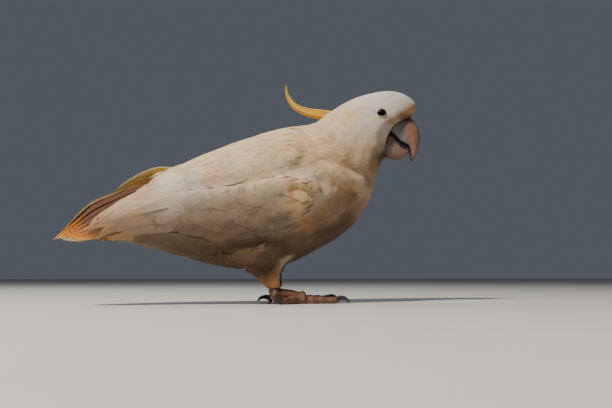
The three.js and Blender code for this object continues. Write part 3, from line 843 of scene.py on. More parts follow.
# The same on the head, in its own frame, with painted shade under the forehead and under the chin.
HEAD_STAINS_AND_SHADE = [
    ((36, 0, 206), (54, 60, 34), PALE, 0.8),
    ((26, 30, 180), (34, 34, 30), PALE, 0.55),
    ((62, 0, 193), (20, 40, 14), RUST, 0.75),
    ((52, 14, 188), (18, 20, 8), RUST, 0.7),
    # Dirt at the bill's base, deepened with painted shade under the forehead.
    ((60, 0, 186), (26, 40, 8), UMBER_DIRT_AND_SHADE, 0.9),
    ((40, 22, 181), (12, 18, 6), TAN, 0.7),
    # A dark stain under the chin, deepened with painted shade.
    ((31, 0, 141), (28, 50, 24), (0.05, 0.027, 0.013), 1.0),
    ((20, 20, 128), (26, 30, 22), TAN, 0.8),
]


STAIN_AND_SHADE_CORE = 0.3  # the share of a mark's reach over which it is at its strongest, for stains and for painted shade and light alike


def plumage_colour(shader):
    """The markings that the skin and every feather share, from their place on the bird, with painted shade
    and light among them.
    """
    colour = shader.tint(WHITE, CREAM, shader.noise(26, 4), 0.35, 0.68)
    colour = shader.tint(colour, PEACH, shader.noise(70, 2), 0.42, 0.75, 0, 0.45)
    body_place = shader.in_body(shader.wander(60.0, 0.022))
    head_place = shader.in_head(shader.wander(170.0, 0.008))
    # Each list holds stains and dirt, and also painted shade and light.
    for where, stains in ((body_place, BODY_STAINS_AND_PAINTED_LIGHT), (head_place, HEAD_STAINS_AND_SHADE)):
        x, _, z = shader.split(where)
        _, y, _ = shader.split(shader.vector("ABSOLUTE", where))
        both = shader.add("ShaderNodeCombineXYZ", {0: x, 1: y, 2: z}).outputs[0]
        for middle, reach, tint, strength in stains:
            gap = shader.vector("SUBTRACT", both, tuple(MM * m for m in middle))
            shrunk = shader.vector("MULTIPLY", gap, tuple(1 / (MM * r) for r in reach))
            far = shader.vector("LENGTH", shrunk, number=True)
            colour = shader.tint(colour, tint, far, STAIN_AND_SHADE_CORE, 1.0, strength, 0.0)
    return colour


def skin_material():
    shader = Shader("skin", Roughness=0.7)
    shader.colour(shader.mix(0.25, plumage_colour(shader), (0.7, 0.5, 0.42)))
    shader.bump(shader.noise(1.2, 4), 0.4, 0.3)
    return shader.material


def feather_material():
    """Soft white vanes: a faint shaft, paler ends, and a tone of its own for each feather."""
    shader = Shader("plumage", Roughness=0.75, Sheen_Weight=0.08, Sheen_Roughness=0.5,
                    Specular_IOR_Level=0.25, Subsurface_Weight=0.5, Subsurface_Scale=0.002,
                    Subsurface_Radius=(1.0, 0.8, 0.6))
    own, along, across, _ = shader.tone()
    beside = shader.off_shaft(across)
    shade = shader.ramp(own, 0, 1, 0.95, 1.03)
    tip = shader.ramp(along, 0.4, 1.0, 0.98, 1.01)
    dark_shaft = shader.ramp(beside, 0.0, 0.10, 0.95, 1.0)
    shader.shaded(plumage_colour(shader), shade, tip, dark_shaft)
    shader.bump(shader.barbs(own, along, beside, 0.8, 45.0, 3.0), 0.5, 0.12)
    return shader.material


def quill_material(name, under, wash_and_shade, tip, shaft):
    """Large feathers: plumage with a dark shaft, fine slanting barbs and stains toward the tip.

    under holds the wash of the lower face further forward and further back. wash_and_shade holds the upper
    face's colour nearer the root and nearer the tip, with painted shade in it on the tail, and how far it
    hides the plumage's. tip is the stain on the very end and how strong it is."""
    shader = Shader(name, Roughness=0.62, Sheen_Weight=0.05, Specular_IOR_Level=0.25,
                    Subsurface_Weight=0.3, Subsurface_Scale=0.002, Subsurface_Radius=(1.0, 0.7, 0.4))
    own, along, across, upper_face = shader.tone()
    patchy = shader.noise(9, 4, stretch=(0.35, 1, 1))
    # On the tail this colour holds painted shade, darkest toward the root.
    upper = shader.tint(wash_and_shade[0], wash_and_shade[1], along, 0.66, 0.92)
    hides = shader.math("MULTIPLY", shader.ramp(patchy, 0.25, 0.7, 1.0, wash_and_shade[2]), wash_and_shade[2])
    colour = shader.mix(hides, plumage_colour(shader), upper)
    end = shader.math("MULTIPLY", shader.ramp(along, 0.6, 1.0), shader.ramp(patchy, 0.3, 0.65, 0.35, 1.0))
    colour = shader.mix(shader.math("MULTIPLY", end, tip[1]), colour, tip[0])
    x, _, z = shader.split(shader.in_body(shader.place))
    back = shader.math("MULTIPLY_ADD", x, -1.0, RIM[0])
    fall = shader.math("MULTIPLY_ADD", back, RIM[3], RIM[2])
    top = shader.math("MULTIPLY_ADD", shader.math("MULTIPLY", back, fall), -1.0, RIM[1])
    depth = shader.math("MULTIPLY_ADD", patchy, 0.006, shader.math("SUBTRACT", top, z))
    further = shader.math("MULTIPLY_ADD", back, 0.22, depth)
    below = shader.tint(under[0], under[1], further, *UNDER_WASH)
    below = shader.tint(UNDER_PALE, below, depth, *UNDER_RIM)
    colour = shader.tint(colour, below, upper_face, 0.25, 0.75, 0.95, 0.0)
    beside = shader.off_shaft(across)
    dark_shaft = shader.ramp(beside, 0.0, 0.05, 1 - shaft, 1.0)
    barbs = shader.barbs(own, along, beside, 1.1, 150.0, 2.0)
    barbs_light = shader.ramp(barbs, 0.3, 0.7, 0.95, 1.02)
    shader.shaded(colour, dark_shaft, barbs_light, shader.ramp(own, 0, 1, 0.94, 1.03))
    shader.bump(barbs, 0.35, 0.12)
    return shader.material


def crest_material():
    """Cream-yellow plumes, olive in their grooves and reddish at their ends."""
    shader = Shader("crest", Roughness=0.6, Sheen_Weight=0.04)
    own, along, across, _ = shader.tone()
    colour = shader.tint((0.24, 0.17, 0.01), (0.74, 0.44, 0.025), shader.off_shaft(across), 0.02, 0.4)
    colour = shader.tint(colour, CREAM, along, 0.0, 0.25, 0.5, 0.0)
    colour = shader.tint(colour, (0.42, 0.20, 0.06), along, 0.72, 1.0, 0.0, 0.6)
    colour = shader.tint(colour, (0.30, 0.24, 0.08), shader.noise(5, 3), 0.4, 0.7, 0, 0.4)
    shader.shaded(colour, shader.ramp(own, 0, 1, 0.8, 1.1))
    shader.bump(shader.noise(0.7, 2), 0.3, 0.15)
    return shader.material


def horn_material(name, base, front, dark_below):
    """Bill horn: base at the feathers, front further ahead, and nearly black at its edges.

    dark_below holds the heights, in metres, between which the tip turns dark. The mesh's tone
    holds how far each point is from the feathers and from the cutting edge."""
    shader = Shader(name, Roughness=0.45, Specular_IOR_Level=0.4)
    seam, brink, inside, _ = shader.tone()
    ahead, _, z = shader.split(shader.in_head(shader.place))
    blotched = shader.math("MULTIPLY_ADD", shader.noise(8, 4), 0.016, ahead)
    worn = shader.math("MULTIPLY_ADD", shader.noise(3, 3), 0.14, seam)
    frayed = shader.math("MULTIPLY_ADD", shader.noise(2, 3), 0.12, brink)
    streak = shader.noise(2.4, 3, stretch=(1, 1, 0.22))
    colour = shader.tint(base, front, blotched, 0.053, 0.070)
    colour = shader.tint(colour, (0.27, 0.17, 0.13), streak, 0.42, 0.78, 0, 0.5)
    colour = shader.tint(colour, (0.018, 0.022, 0.024), worn, 0.10, 0.34, 0.93, 0.0)
    colour = shader.tint(colour, (0.025, 0.022, 0.022), frayed, 0.10, 0.26, 0.85, 0.0)
    colour = shader.tint(colour, (0.02, 0.018, 0.018), inside, 0.2, 0.8, 0.0, 0.9)
    shader.colour(shader.tint(colour, (0.02, 0.015, 0.013), z, *dark_below, 0.9, 0.0))
    grain = shader.math("ADD", shader.noise(1.6, 4, stretch=(1, 1, 0.3)), shader.noise(0.5, 2))
    shader.bump(grain, 0.28, 0.25)
    return shader.material


def eye_material(word, side):
    """A nearly black eye under a clear cornea, with a brown edge to the iris."""
    shader = Shader(f"eye_{word}", Roughness=0.1, Specular_IOR_Level=0.09)
    off = shader.vector("SUBTRACT", shader.place, tuple(EYE_MIDDLE[word] * MM))
    facing = shader.vector("DOT_PRODUCT", off, tuple(side * SIDEWAYS), number=True)
    iris = shader.mix(shader.noise(0.8, 3), (0.006, 0.004, 0.003), (0.016, 0.009, 0.006))
    colour = shader.tint(iris, (0.002, 0.002, 0.002), facing, 0.0054, 0.0056)
    shader.colour(shader.tint((0.02, 0.015, 0.012), colour, facing, 0.0040, 0.0045))
    return shader.material


def foot_material():
    """Scaly skin, rusty brown with dark seams and paler plates."""
    shader = Shader("foot", Roughness=0.55)
    plate, pale, _, _ = shader.tone()
    colour = shader.mix(shader.noise(9, 3), (0.085, 0.036, 0.020), (0.17, 0.075, 0.042))
    colour = shader.tint(colour, (0.36, 0.20, 0.13), pale, 0.0, 1.0, 0.0, 0.3)
    shader.colour(shader.tint(colour, (0.05, 0.025, 0.018), plate, 0.0, 0.8, 0.85, 0.0))
    shader.bump(shader.noise(0.6, 3), 0.4, 0.15)
    return shader.material


def lid_material():
    """The bare ring round the eye: pale greyish flesh, with painted shade in its folds and at the lids' edge.
    """
    shader = Shader("lids", Roughness=0.5)
    colour = shader.mix(shader.noise(3, 3), (0.46, 0.39, 0.34), (0.66, 0.58, 0.51))
    # The mesh's tone paints shade into the creases and along the lids' edge.
    shader.colour(shader.tint(colour, (0.07, 0.05, 0.045), shader.tone()[0], 0.0, 1.0, 0.8, 0.0))
    shader.bump(shader.noise(0.5, 3), 0.35, 0.12)
    return shader.material


def plain_material(name, colour, dark, size):
    """A colour mottled with a darker one in patches of size mm, over a fine grain."""
    shader = Shader(name, Roughness=0.35)
    shader.colour(shader.tint(colour, dark, shader.noise(size, 4), 0.3, 0.7))
    shader.bump(shader.noise(size / 5, 3), 0.3, 0.12)
    return shader.material


SKIN_LOOK = skin_material()
PLUMAGE = feather_material()
# The left wing's rim, in metres: x where it starts, its height there, and how it falls further
# back; then how far under it the lower face turns from one wash to the other, and is no longer pale.
RIM = (-0.116, 0.136, 0.13, 5.8)
UNDER_WASH = (0.014, 0.026)
UNDER_RIM = (0.0035, 0.0048)
UNDER_PALE = (0.60, 0.57, 0.46)
FLIGHT_LOOK = quill_material("flight", ((0.40, 0.32, 0.035), (0.52, 0.17, 0.02)),
                             (WHITE, PEACH, 0.25), (PEACH, 0.4), shaft=0.10)
# The tail's upper face: an orange stain, darkened to near black toward the root as painted shade where the
# wings shade it.
TAIL_LOOK = quill_material("tail", ((0.42, 0.20, 0.06), (0.74, 0.50, 0.28)),
                           ((0.085, 0.024, 0.005), (0.40, 0.10, 0.006), 0.98), ((0.56, 0.17, 0.008), 0.9),
                           shaft=0.2)
CREST_LOOK = crest_material()
UPPER_LOOK = horn_material("bill_upper", (0.115, 0.135, 0.145), (0.21, 0.105, 0.068), (0.1425, 0.151))
LOWER_LOOK = horn_material("bill_lower", (0.15, 0.10, 0.085), (0.20, 0.105, 0.075), (0.120, 0.121))
TONGUE_LOOK = plain_material("tongue", (0.17, 0.15, 0.15), (0.09, 0.08, 0.085), 2.5)
CLAW_LOOK = plain_material("claws", (0.07, 0.05, 0.042), (0.025, 0.019, 0.017), 4)
FOOT_LOOK = foot_material()
LID_LOOK = lid_material()


# ---------------------------------------------------------------- the coat
REGIONS = {
    "scapulars": [f"wing_{w}_scapulars" for w, _ in SIDES],
    "coverts": [f"wing_{w}_coverts" for w, _ in SIDES],
    "body": ["trunk", "neck", "head"],
}
REGION_SURFACES = {key: node_surface(*names) for key, names in REGIONS.items()}
RING_BARE, RING_SHIFT = 6.4, 0.3  # how wide the bare skin round each eye is, and how far forward


def region_of(points):
    """Which of REGIONS each point of the skin is under, by number."""
    spots, normals = SKIN.nearest(points)
    outside = spots + normals * (coat_depth(spots) + 1)[:, None]
    gaps = np.stack([REGION_SURFACES[key].gap(outside) for key in REGIONS])
    return gaps.argmin(0)


def bare(points):
    """True where no feather grows: round the eyes, further in behind them than before them."""
    ahead, side, z = head_axes(points)
    rise = z - EYE_MIDDLE["right"][2]
    return (np.hypot(ahead - EYE_AHEAD - RING_SHIFT, rise) < RING_BARE) & (np.abs(side) > 12)


# How far apart the body's feathers grow and how long they are: places on the spine, and values.
SPACING = ([0, 20, 45, 62, 85, 110, 150], [0.85, 0.95, 1.1, 1.5, 2.1, 2.7, 3.1])
LENGTH = ([0, 10, 30, 62, 85, 110, 150, 340], [2.6, 4.0, 6.5, 9, 14, 18, 22, 25])
WING_SPACING = {"scapulars": 2.9, "coverts": 3.0}
WING_LENGTH = {"scapulars": 24.0, "coverts": 17.0}
SMALL = Vane(4, np.linspace(-1, 1, 3), narrow=0.6, widest=0.4, blunt=0.2, round_tip=0.05, camber=0.14)
BODY = Vane(7, np.linspace(-1, 1, 5), narrow=0.6, widest=0.45, blunt=0.12, round_tip=0.06, camber=0.12)
COVERT = Vane(12, np.linspace(-1, 1, 11), narrow=0.5, widest=0.62, blunt=0.3, round_tip=0.1,
              camber=0.13, shaft=0.12)
COVERT_ROWS, COVERT_COLUMNS = 9, 15
COVERT_START = (-4, 116)  # the foremost and uppermost, x and z in the body's frame
COVERT_GAP = (10.5, 8.0)  # between the large coverts, along the wing and across it
COVERT_LENGTH, COVERT_HALF = 27.0, 7.0
COVERTS_END = -100  # x in the body's frame behind which the coverts run on over the flight feathers
LEG_SPACING, LEG_LENGTH = 1.5, 6.0
COVERTS_OUT = 75.0  # how far out the coverts' roots start, before they are laid on the skin
SHORTER_TO_TAIL = (120, 60, 0.6)  # mm from the spine's end where feathers shorten, and to what share
UNDER_COVERTS = 1.6  # how much lower the small feathers lie under the large coverts
STEEPEST_ROOT = 0.6  # no feather grows where its direction stands out of the skin more than this
TAIL_BARE = 42  # mm of the spine's end without small feathers
FACE_ENDS = 36  # place on the spine
BELLY_TOP = 90
FORM_OF = {
    COVERT: {"softness": 0.8, "ragged": 0.012, "slope": 0.055, "hug": True},
    BODY: {"softness": 0.9, "ragged": 0.07, "slope": 0.045},
    SMALL: {"softness": 0.92, "ragged": 0.12, "slope": 0.05, "edges": False},
}


def covert_roots(side):
    """Rows of roots over one wing's coverts, each row set half a feather on from the one above."""
    rng = np.random.default_rng(81 + side)
    spots = []
    for row in range(COVERT_ROWS):
        for i in range(COVERT_COLUMNS):
            x = COVERT_START[0] - COVERT_GAP[0] * (i + 0.5 * (row % 2))
            z = COVERT_START[1] - COVERT_GAP[1] * row - 0.05 * x
            jitter = rng.normal(0, 0.9, 2)
            spots.append(in_body(x + jitter[0], side * COVERTS_OUT, z + jitter[1]))
    found, normals = SKIN.nearest(np.array(spots))
    outer = (normals[:, 1] * side > 0.35) & (in_leg(found) < 0.2)
    return found[outer & (region_of(found) == list(REGIONS).index("coverts"))]


def by_region(points, values, table):
    """The table's value where a point is in one of its regions, and values elsewhere."""
    region = region_of(points)
    for key, value in table.items():
        values = np.where(region == list(REGIONS).index(key), value, values)
    return values


def leg_share(points):
    """How much of a point's coat is the leg's, which starts high up where the leg leaves the belly."""
    return np.clip(2.5 * in_leg(points), 0, 1)


def coat_spacing(points):
    place, _ = on_spine(points)
    gap = by_region(points, np.interp(place, *SPACING), WING_SPACING)
    gap = mix(gap, LEG_SPACING, leg_share(points))
    return np.where(bare(points), 0, gap)


def coat_size(points, gap):
    """The length, half width and depth of the feather that grows at each point."""
    place, _ = on_spine(points)
    length = by_region(points, np.interp(place, *LENGTH), WING_LENGTH)
    length = mix(length, LEG_LENGTH, leg_share(points))
    start, end, shortest = SHORTER_TO_TAIL
    length = length * mix(1, shortest, ramp(SPINE_LENGTH - start, SPINE_LENGTH - end, place))
    rng = np.random.default_rng(5)
    length = length * rng.uniform(0.85, 1.15, len(points))
    half = gap * rng.uniform(0.62, 0.85, len(points)) * mix(1.35, 1.0, ramp(40, NECK_ENDS, place))
    under_coverts = by_region(points, np.zeros(len(points)), {"coverts": UNDER_COVERTS})
    return length, half, coat_depth(points) - under_coverts


def make_coat():
    roots = spread(SKIN, coat_spacing, 11)
    _, facing = SKIN.nearest(roots)
    place, _ = on_spine(roots)
    level = ((facing * lie(roots)).sum(1) < STEEPEST_ROOT) | (in_leg(roots) > 0.5)
    roots = roots[level & (place < SPINE_LENGTH - TAIL_BARE)]
    gap = np.maximum(coat_spacing(roots), 0.7)
    size = coat_size(roots, gap)
    place, _ = on_spine(roots)
    leg = in_leg(roots) > 0.5
    wing = (region_of(roots) != list(REGIONS).index("body")) & ~leg
    right = np.where(place < HEAD_ENDS, head_axes(roots)[1], roots[:, 1]) < 0
    head = (place < HEAD_ENDS) & ~wing & ~leg
    neck = (place >= HEAD_ENDS) & (place < NECK_ENDS) & ~wing & ~leg
    trunk = (place >= NECK_ENDS) & ~wing & ~leg
    low = roots[:, 2] < BELLY_TOP
    groups = {
        "face": (head & (place < FACE_ENDS), SMALL),
        "nape": (head & (place >= FACE_ENDS), SMALL),
        "neck": (neck, BODY),
        "back": (trunk & ~low, BODY),
        "belly": (trunk & low, BODY),
        "wing": (wing, BODY),
        "leg": (leg, SMALL),
    }
    for name, (chosen, vane) in groups.items():
        for i, (word, _) in enumerate(SIDES):
            own = chosen & (right if word == "right" else ~right)
            grown = grow(SKIN, roots[own], vane, [s[own] for s in size], 20 + i, **FORM_OF[vane])
            unwrap = leg_unwrap if name == "leg" else body_unwrap
            feather_object(f"coat_{name}_{word}", vane, grown, PLUMAGE, unwrap)
    for i, (word, side) in enumerate(SIDES):
        roots = covert_roots(side)
        rng = np.random.default_rng(91 + i)
        varied = rng.uniform(0.88, 1.1, (2, len(roots)))
        size = (COVERT_LENGTH * varied[0], COVERT_HALF * varied[1], coat_depth(roots) + 0.2)
        rear = roots[:, 0] < ORIGIN[0] + COVERTS_END
        grown = grow(SKIN, roots, COVERT, size, 95 + i, edges=rear, **FORM_OF[COVERT])
        feather_object(f"coat_coverts_{word}", COVERT, grown, PLUMAGE, body_unwrap)


# ---------------------------------------------------------------- flight feathers
# Each row of a folded wing lies between its first and its last feather, whose shafts are given as
# seen from the side, in the body's frame. The first lies lowest and reaches furthest back.
FLIGHT_ROWS = {
    "right": {
        "primary": ([(-84, 69), (-110, 70), (-137, 68), (-158, 64), (-174, 60), (-186, 56.5)],
                    [(-84, 88), (-120, 86), (-150, 83), (-173, 77), (-190, 68), (-205, 58)]),
        "secondary": ([(-84, 93), (-128, 94), (-163, 90), (-185, 83), (-202, 74), (-216, 65)],
                      [(-80, 114), (-102, 115), (-122, 114), (-139, 111), (-153, 107), (-164, 103)]),
    },
    "left": {
        "primary": ([(-90, 74), (-118, 73), (-142, 69), (-162, 65), (-178, 61), (-190, 57)],
                    [(-90, 92), (-120, 92), (-150, 88), (-176, 82), (-196, 74), (-212, 65)]),
        "secondary": ([(-84, 96), (-115, 98), (-142, 97), (-164, 92), (-181, 85), (-195, 76)],
                      [(-84, 128), (-106, 129), (-127, 126.5), (-147, 119.5), (-165, 109), (-181, 96)]),
    },
}
# How many feathers a row has, how wide their upper and lower webs are, and how high over the wing
# the first and the last lie.
ROW_FORM = {
    "primary": {"count": 6, "wide": (8.0, 5.6), "over": (-2.3, -1.3)},
    "secondary": {"count": 8, "wide": (9.0, 6.4), "over": (0.2, 1.7)},
}
QUILL_COLUMNS = [-1, -0.72, -0.42, -0.15, -0.05, 0.05, 0.15, 0.42, 0.72, 1]
QUILL = Vane(22, QUILL_COLUMNS, narrow=0.3, widest=0.62, blunt=0.25, round_tip=0.05, camber=0.05, shaft=0.3)
FLIGHT_TILT, FLIGHT_DOME = 0.26, 0.22  # how far a feather is tilted and arched across
COVERED = (-141, -116)  # x where the flight feathers come out from under the coverts
SUNK = 5.0  # how much lower they lie under them


class Wall:
    """The outside of one folded wing as a smooth height in y over its side view."""

    STEP = 4.0
    REACH = 3  # to either side of a place, for its slope
    STEEPEST = 0.6
    FILL_TURNS, SMOOTH_TURNS = 150, 10

    def __init__(self, word, side):
        rows = ("scapulars", "coverts", "secondaries", "primaries")
        surface = node_surface("trunk", *[f"wing_{word}_{row}" for row in rows])
        self.side = side
        self.x = np.arange(-232, -20, self.STEP)
        self.z = np.arange(40, 156, self.STEP)
        field = np.full((len(self.x), len(self.z)), np.nan)
        for i, x in enumerate(self.x):
            for k, z in enumerate(self.z):
                start = in_body(x, side * 90.0, z)
                hit = surface.tree.ray_cast(Vector(start), Vector((0, -side, 0)), 88.0)[0]
                if hit is not None:
                    field[i, k] = side * hit[1]
        self.field = self.filled(field)

    def filled(self, field):
        """The field with its gaps filled from their neighbours, and then smoothed."""
        known = ~np.isnan(field)
        whole = np.where(known, field, np.nanmean(field))
        for turn in range(self.FILL_TURNS + self.SMOOTH_TURNS):
            edge = np.pad(whole, 1, mode="edge")
            around = (edge[:-2, 1:-1] + edge[2:, 1:-1] + edge[1:-1, :-2] + edge[1:-1, 2:]) / 4
            if turn < self.FILL_TURNS:
                whole = np.where(known, field, around)
            else:
                whole = (whole + around) / 2
        return whole

    def height(self, x, z):
        i = np.clip((x - self.x[0]) / self.STEP, 0, len(self.x) - 1.001)
        k = np.clip((z - self.z[0]) / self.STEP, 0, len(self.z) - 1.001)
        a, b = i.astype(int), k.astype(int)
        h = self.field
        low = mix(h[a, b], h[a + 1, b], i - a)
        high = mix(h[a, b + 1], h[a + 1, b + 1], i - a)
        return mix(low, high, k - b)

    def slope(self, x, z, along_x, along_z):
        rise = self.height(x + along_x, z + along_z) - self.height(x - along_x, z - along_z)
        return np.clip(rise / (2 * self.REACH), -self.STEEPEST, self.STEEPEST)

    def at(self, x, z):
        """Places on the wall, in the row's frame, with its outward normal there."""
        here = self.height(x, z)
        slope_x, slope_z = self.slope(x, z, self.REACH, 0), self.slope(x, z, 0, self.REACH)
        normal = np.stack([-slope_x, np.full_like(here, self.side), -slope_z], -1)
        return in_body(x, self.side * here, z), unit(normal)


def flight(word, side):
    """The flight feathers of one wing. The upper ones lie over the lower ones."""
    rng = np.random.default_rng(31 + side)
    wall = Wall(word, side)
    v = np.linspace(0, 1, QUILL.rings)
    share = QUILL.half_width(v)
    rows = []
    for key, (first, last) in FLIGHT_ROWS[word].items():
        form = ROW_FORM[key]
        for i in range(form["count"]):
            q = i / (form["count"] - 1)
            line = mix(curve(first, v), curve(last, v), q) + rng.normal(0, 0.6, 2) * v[:, None]
            place, normal = wall.at(line[:, 0], line[:, 1])
            webs = [w * share for w in form["wide"]]
            lift = mix(*form["over"], q) - SUNK * ramp(*COVERED, line[:, 0])
            rows.append((place, normal, *(webs if side < 0 else webs[::-1]), lift))
    lift = np.stack([row[-1] for row in rows])
    made = quills(f"flight_{word}", rows, rng, FLIGHT_LOOK, QUILL,
                  drape=lambda points: draped(points, wall, lift, side))
    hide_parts(f"wing_{word}_secondaries", f"wing_{word}_primaries")


def draped(points, wall, lift, side):
    """Lays flight feathers on their wall, each tilted so that its lower edge rests on the next."""
    u = QUILL.columns_at
    grid = points.reshape(len(points), QUILL.rings, len(u), 3)
    x, _, z = np.moveaxis(grid - ORIGIN, -1, 0)
    place, normal = wall.at(x, z)
    form = FLIGHT_TILT * u * side + FLIGHT_DOME * (1 - u**2) + QUILL.shaft * bell(u, SHAFT_WIDE - 0.01)
    grid = place + normal * (lift[..., None] + form)[..., None]
    return grid, normal


def quills(name, rows, rng, material, vane, softness=0.5, thick=0.25, drape=None):
    """Large feathers as one object. A row holds a feather's path, normals, two webs and lift."""
    path, normal, left, right, lift = (np.stack(column) for column in zip(*rows))
    way = unit(np.gradient(path, axis=1))
    normal = unit(normal - (normal * way).sum(-1, keepdims=True) * way)
    length = np.linalg.norm(np.diff(path, axis=1), axis=2).sum(1)
    grown = leaf(vane, path, normal, way, (left, right), lift, length, rng, softness,
                 ragged=0.005, thick=thick, drape=drape)
    return feather_object(name, vane, lay_out(grown), material, None)


CELL_FILLED = 0.94  # the share of its cell of the map that a long feather fills


def lay_out(grown):
    """Gives each long feather its own place on the map, in columns."""
    many = len(grown["patch"])
    across = int(math.ceil(math.sqrt(many * 2.5)))
    down = math.ceil(many / across)
    cell = np.array([1 / across, 1 / down])
    spot = np.stack([np.arange(many) % across, np.arange(many) // across], -1)
    middle = (spot + 0.5) * cell
    grown["patch"] = middle[:, None] + grown["patch"] / PATCH * cell * CELL_FILLED
    return grown


# ---------------------------------------------------------------- tail
TAIL_RIDGE = [(-118, 117), (-160, 108), (-190, 96), (-207, 86.5), (-221, 72.5), (-236, 57.5)]
TAIL_EAVES = [(-118, 90), (-152, 72), (-178, 61), (-200, 57.5), (-216, 57), (-232, 57)]
TAIL_HALF = 23.5
TAIL_COUNT = 12
TAIL_WEB = 7.4  # the widest half of a feather
TAIL_STEP = 0.13  # how much lower each feather lies than the next one nearer the middle
TAIL_ROOT, TAIL_ROUND = 0.12, 0.1  # where the roots are, and how much shorter the outer feathers are
TAIL_VANE = Vane(22, QUILL_COLUMNS, narrow=0.3, widest=0.62, blunt=0.25, round_tip=0.05,
                 camber=0.02, shaft=0.25)


def tail_roof(t, q):
    """The closed tail is a roof. t runs from root to tip and q from its right eaves to its left."""
    ridge, eaves = curve(TAIL_RIDGE, t), curve(TAIL_EAVES, t)
    flat = mix(ridge, eaves, (np.abs(q) ** 1.4)[:, None])
    out = q * TAIL_HALF * mix(0.5, 1, ramp(0, 0.6, t)) * (1 - 0.3 * t**5)
    return in_body(flat[:, 0], out, flat[:, 1])


def tail():
    rng = np.random.default_rng(41)
    v = np.linspace(0, 1, TAIL_VANE.rings)
    rows = []
    for j in range(TAIL_COUNT):
        q = (j + 0.5) / TAIL_COUNT * 2 - 1
        t = mix(TAIL_ROOT, 1 - TAIL_ROUND * abs(q) ** 1.5, v)
        place = tail_roof(t, np.full_like(t, q * 0.88))
        beside = tail_roof(t, np.full_like(t, q * 0.88 + 0.05)) - place
        normal = unit(np.cross(np.gradient(place, axis=0), beside))
        normal = normal * np.sign(normal[:, 2:3] + normal[:, 1:2] * np.sign(q))
        web = TAIL_WEB * TAIL_VANE.half_width(v) * mix(0.75, 1, v)
        lift = (0.5 - TAIL_STEP * abs(j - (TAIL_COUNT - 1) / 2)) * ramp(-0.2, 0.4, v)
        rows.append((place, normal, web, web, lift))
    made = quills("tail_feathers", rows, rng, TAIL_LOOK, TAIL_VANE, thick=0.16)
    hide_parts("tail")


# ---------------------------------------------------------------- crest
CREST_LINE = [(-14, 189), (-31.5, 192), (-47.7, 195), (-60.5, 201.5), (-68, 214), (-69, 226)]
CREST_ROOT, CREST_TIP = 5.2, 1.3  # radius of the folded bundle at its root and its tip
PLUME = Vane(20, [-1, -0.5, -0.12, 0.12, 0.5, 1], narrow=0.85, widest=0.3, blunt=0.2, round_tip=0.03,
             camber=0.3, shaft=0.25)
# Each plume of the folded crest: its place round the bundle, in degrees from the outer side of the
# bundle's curve, and how far along the bundle it reaches.
PLUMES = [(0, 0.86), (62, 1.0), (-62, 0.97), (118, 0.9), (-118, 0.93), (180, 0.8), (35, 0.74), (-35, 0.7)]


def crest():
    rng = np.random.default_rng(51)
    v = np.linspace(0, 1, PLUME.rings)
    rows = []
    for turn, reach in PLUMES:
        t = v * reach
        line = curve(CREST_LINE, t)
        axis = in_head(line[:, 0], 0.0, line[:, 1])
        way = unit(np.gradient(axis, axis=0))
        outer = unit(np.cross(way, SIDEWAYS))
        angle = math.radians(turn)
        normal = unit(outer * math.cos(angle) + SIDEWAYS * math.sin(angle))
        radius = mix(CREST_ROOT, CREST_TIP, t)
        web = radius * 0.98 * PLUME.half_width(v)
        rows.append((axis + normal * (radius * 0.62)[:, None], normal, web, web, radius * 0.1))
    made = quills("crest_feathers", rows, rng, CREST_LOOK, PLUME, softness=0.15, thick=0.25)
    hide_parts("crest")


# ---------------------------------------------------------------- bill and tongue
# Pairs of places down each half of the bill, ahead of the head's axis and up: its outer ridge and
# its cutting edge, with its half width between them.
UPPER_BILL = [
    ((40, 190), (32, 176), 8.5), ((50, 190.5), (38, 173), 10.4), ((59, 188), (42.5, 168.5), 10.6),
    ((65, 181.5), (46.5, 164.2), 9.8), ((68, 172.5), (51, 161.6), 8.8), ((68.4, 163), (55.6, 159.4), 7.2),
    ((66, 153.5), (58, 154.5), 4.6), ((62.6, 147), (58.6, 148.5), 2.4), ((59.9, 143.3), (58.9, 144.6), 0.5),
]
LOWER_BILL = [
    ((24, 150), (28, 170), 9.0), ((33, 146.8), (36.5, 170.5), 9.6), ((41, 144.9), (43.3, 165), 9.2),
    ((48.5, 145.2), (48.4, 158.8), 7.8), ((54.2, 148.2), (53, 156), 5.8), ((57.4, 152.2), (56.2, 156.2), 3.0),
]
BILL_WRAP = 132  # degrees that the horn reaches round from its ridge, to either side
TONE_REACH = 10  # mm from the feathers or the cutting edge at which a point's tone is full
# Where the face feathers end beside the bill, ahead of the head's axis and up.
FACE_LINE = [(34, 138), (32, 150), (33, 164), (37, 173), (42, 181), (52, 185.3), (66, 188)]


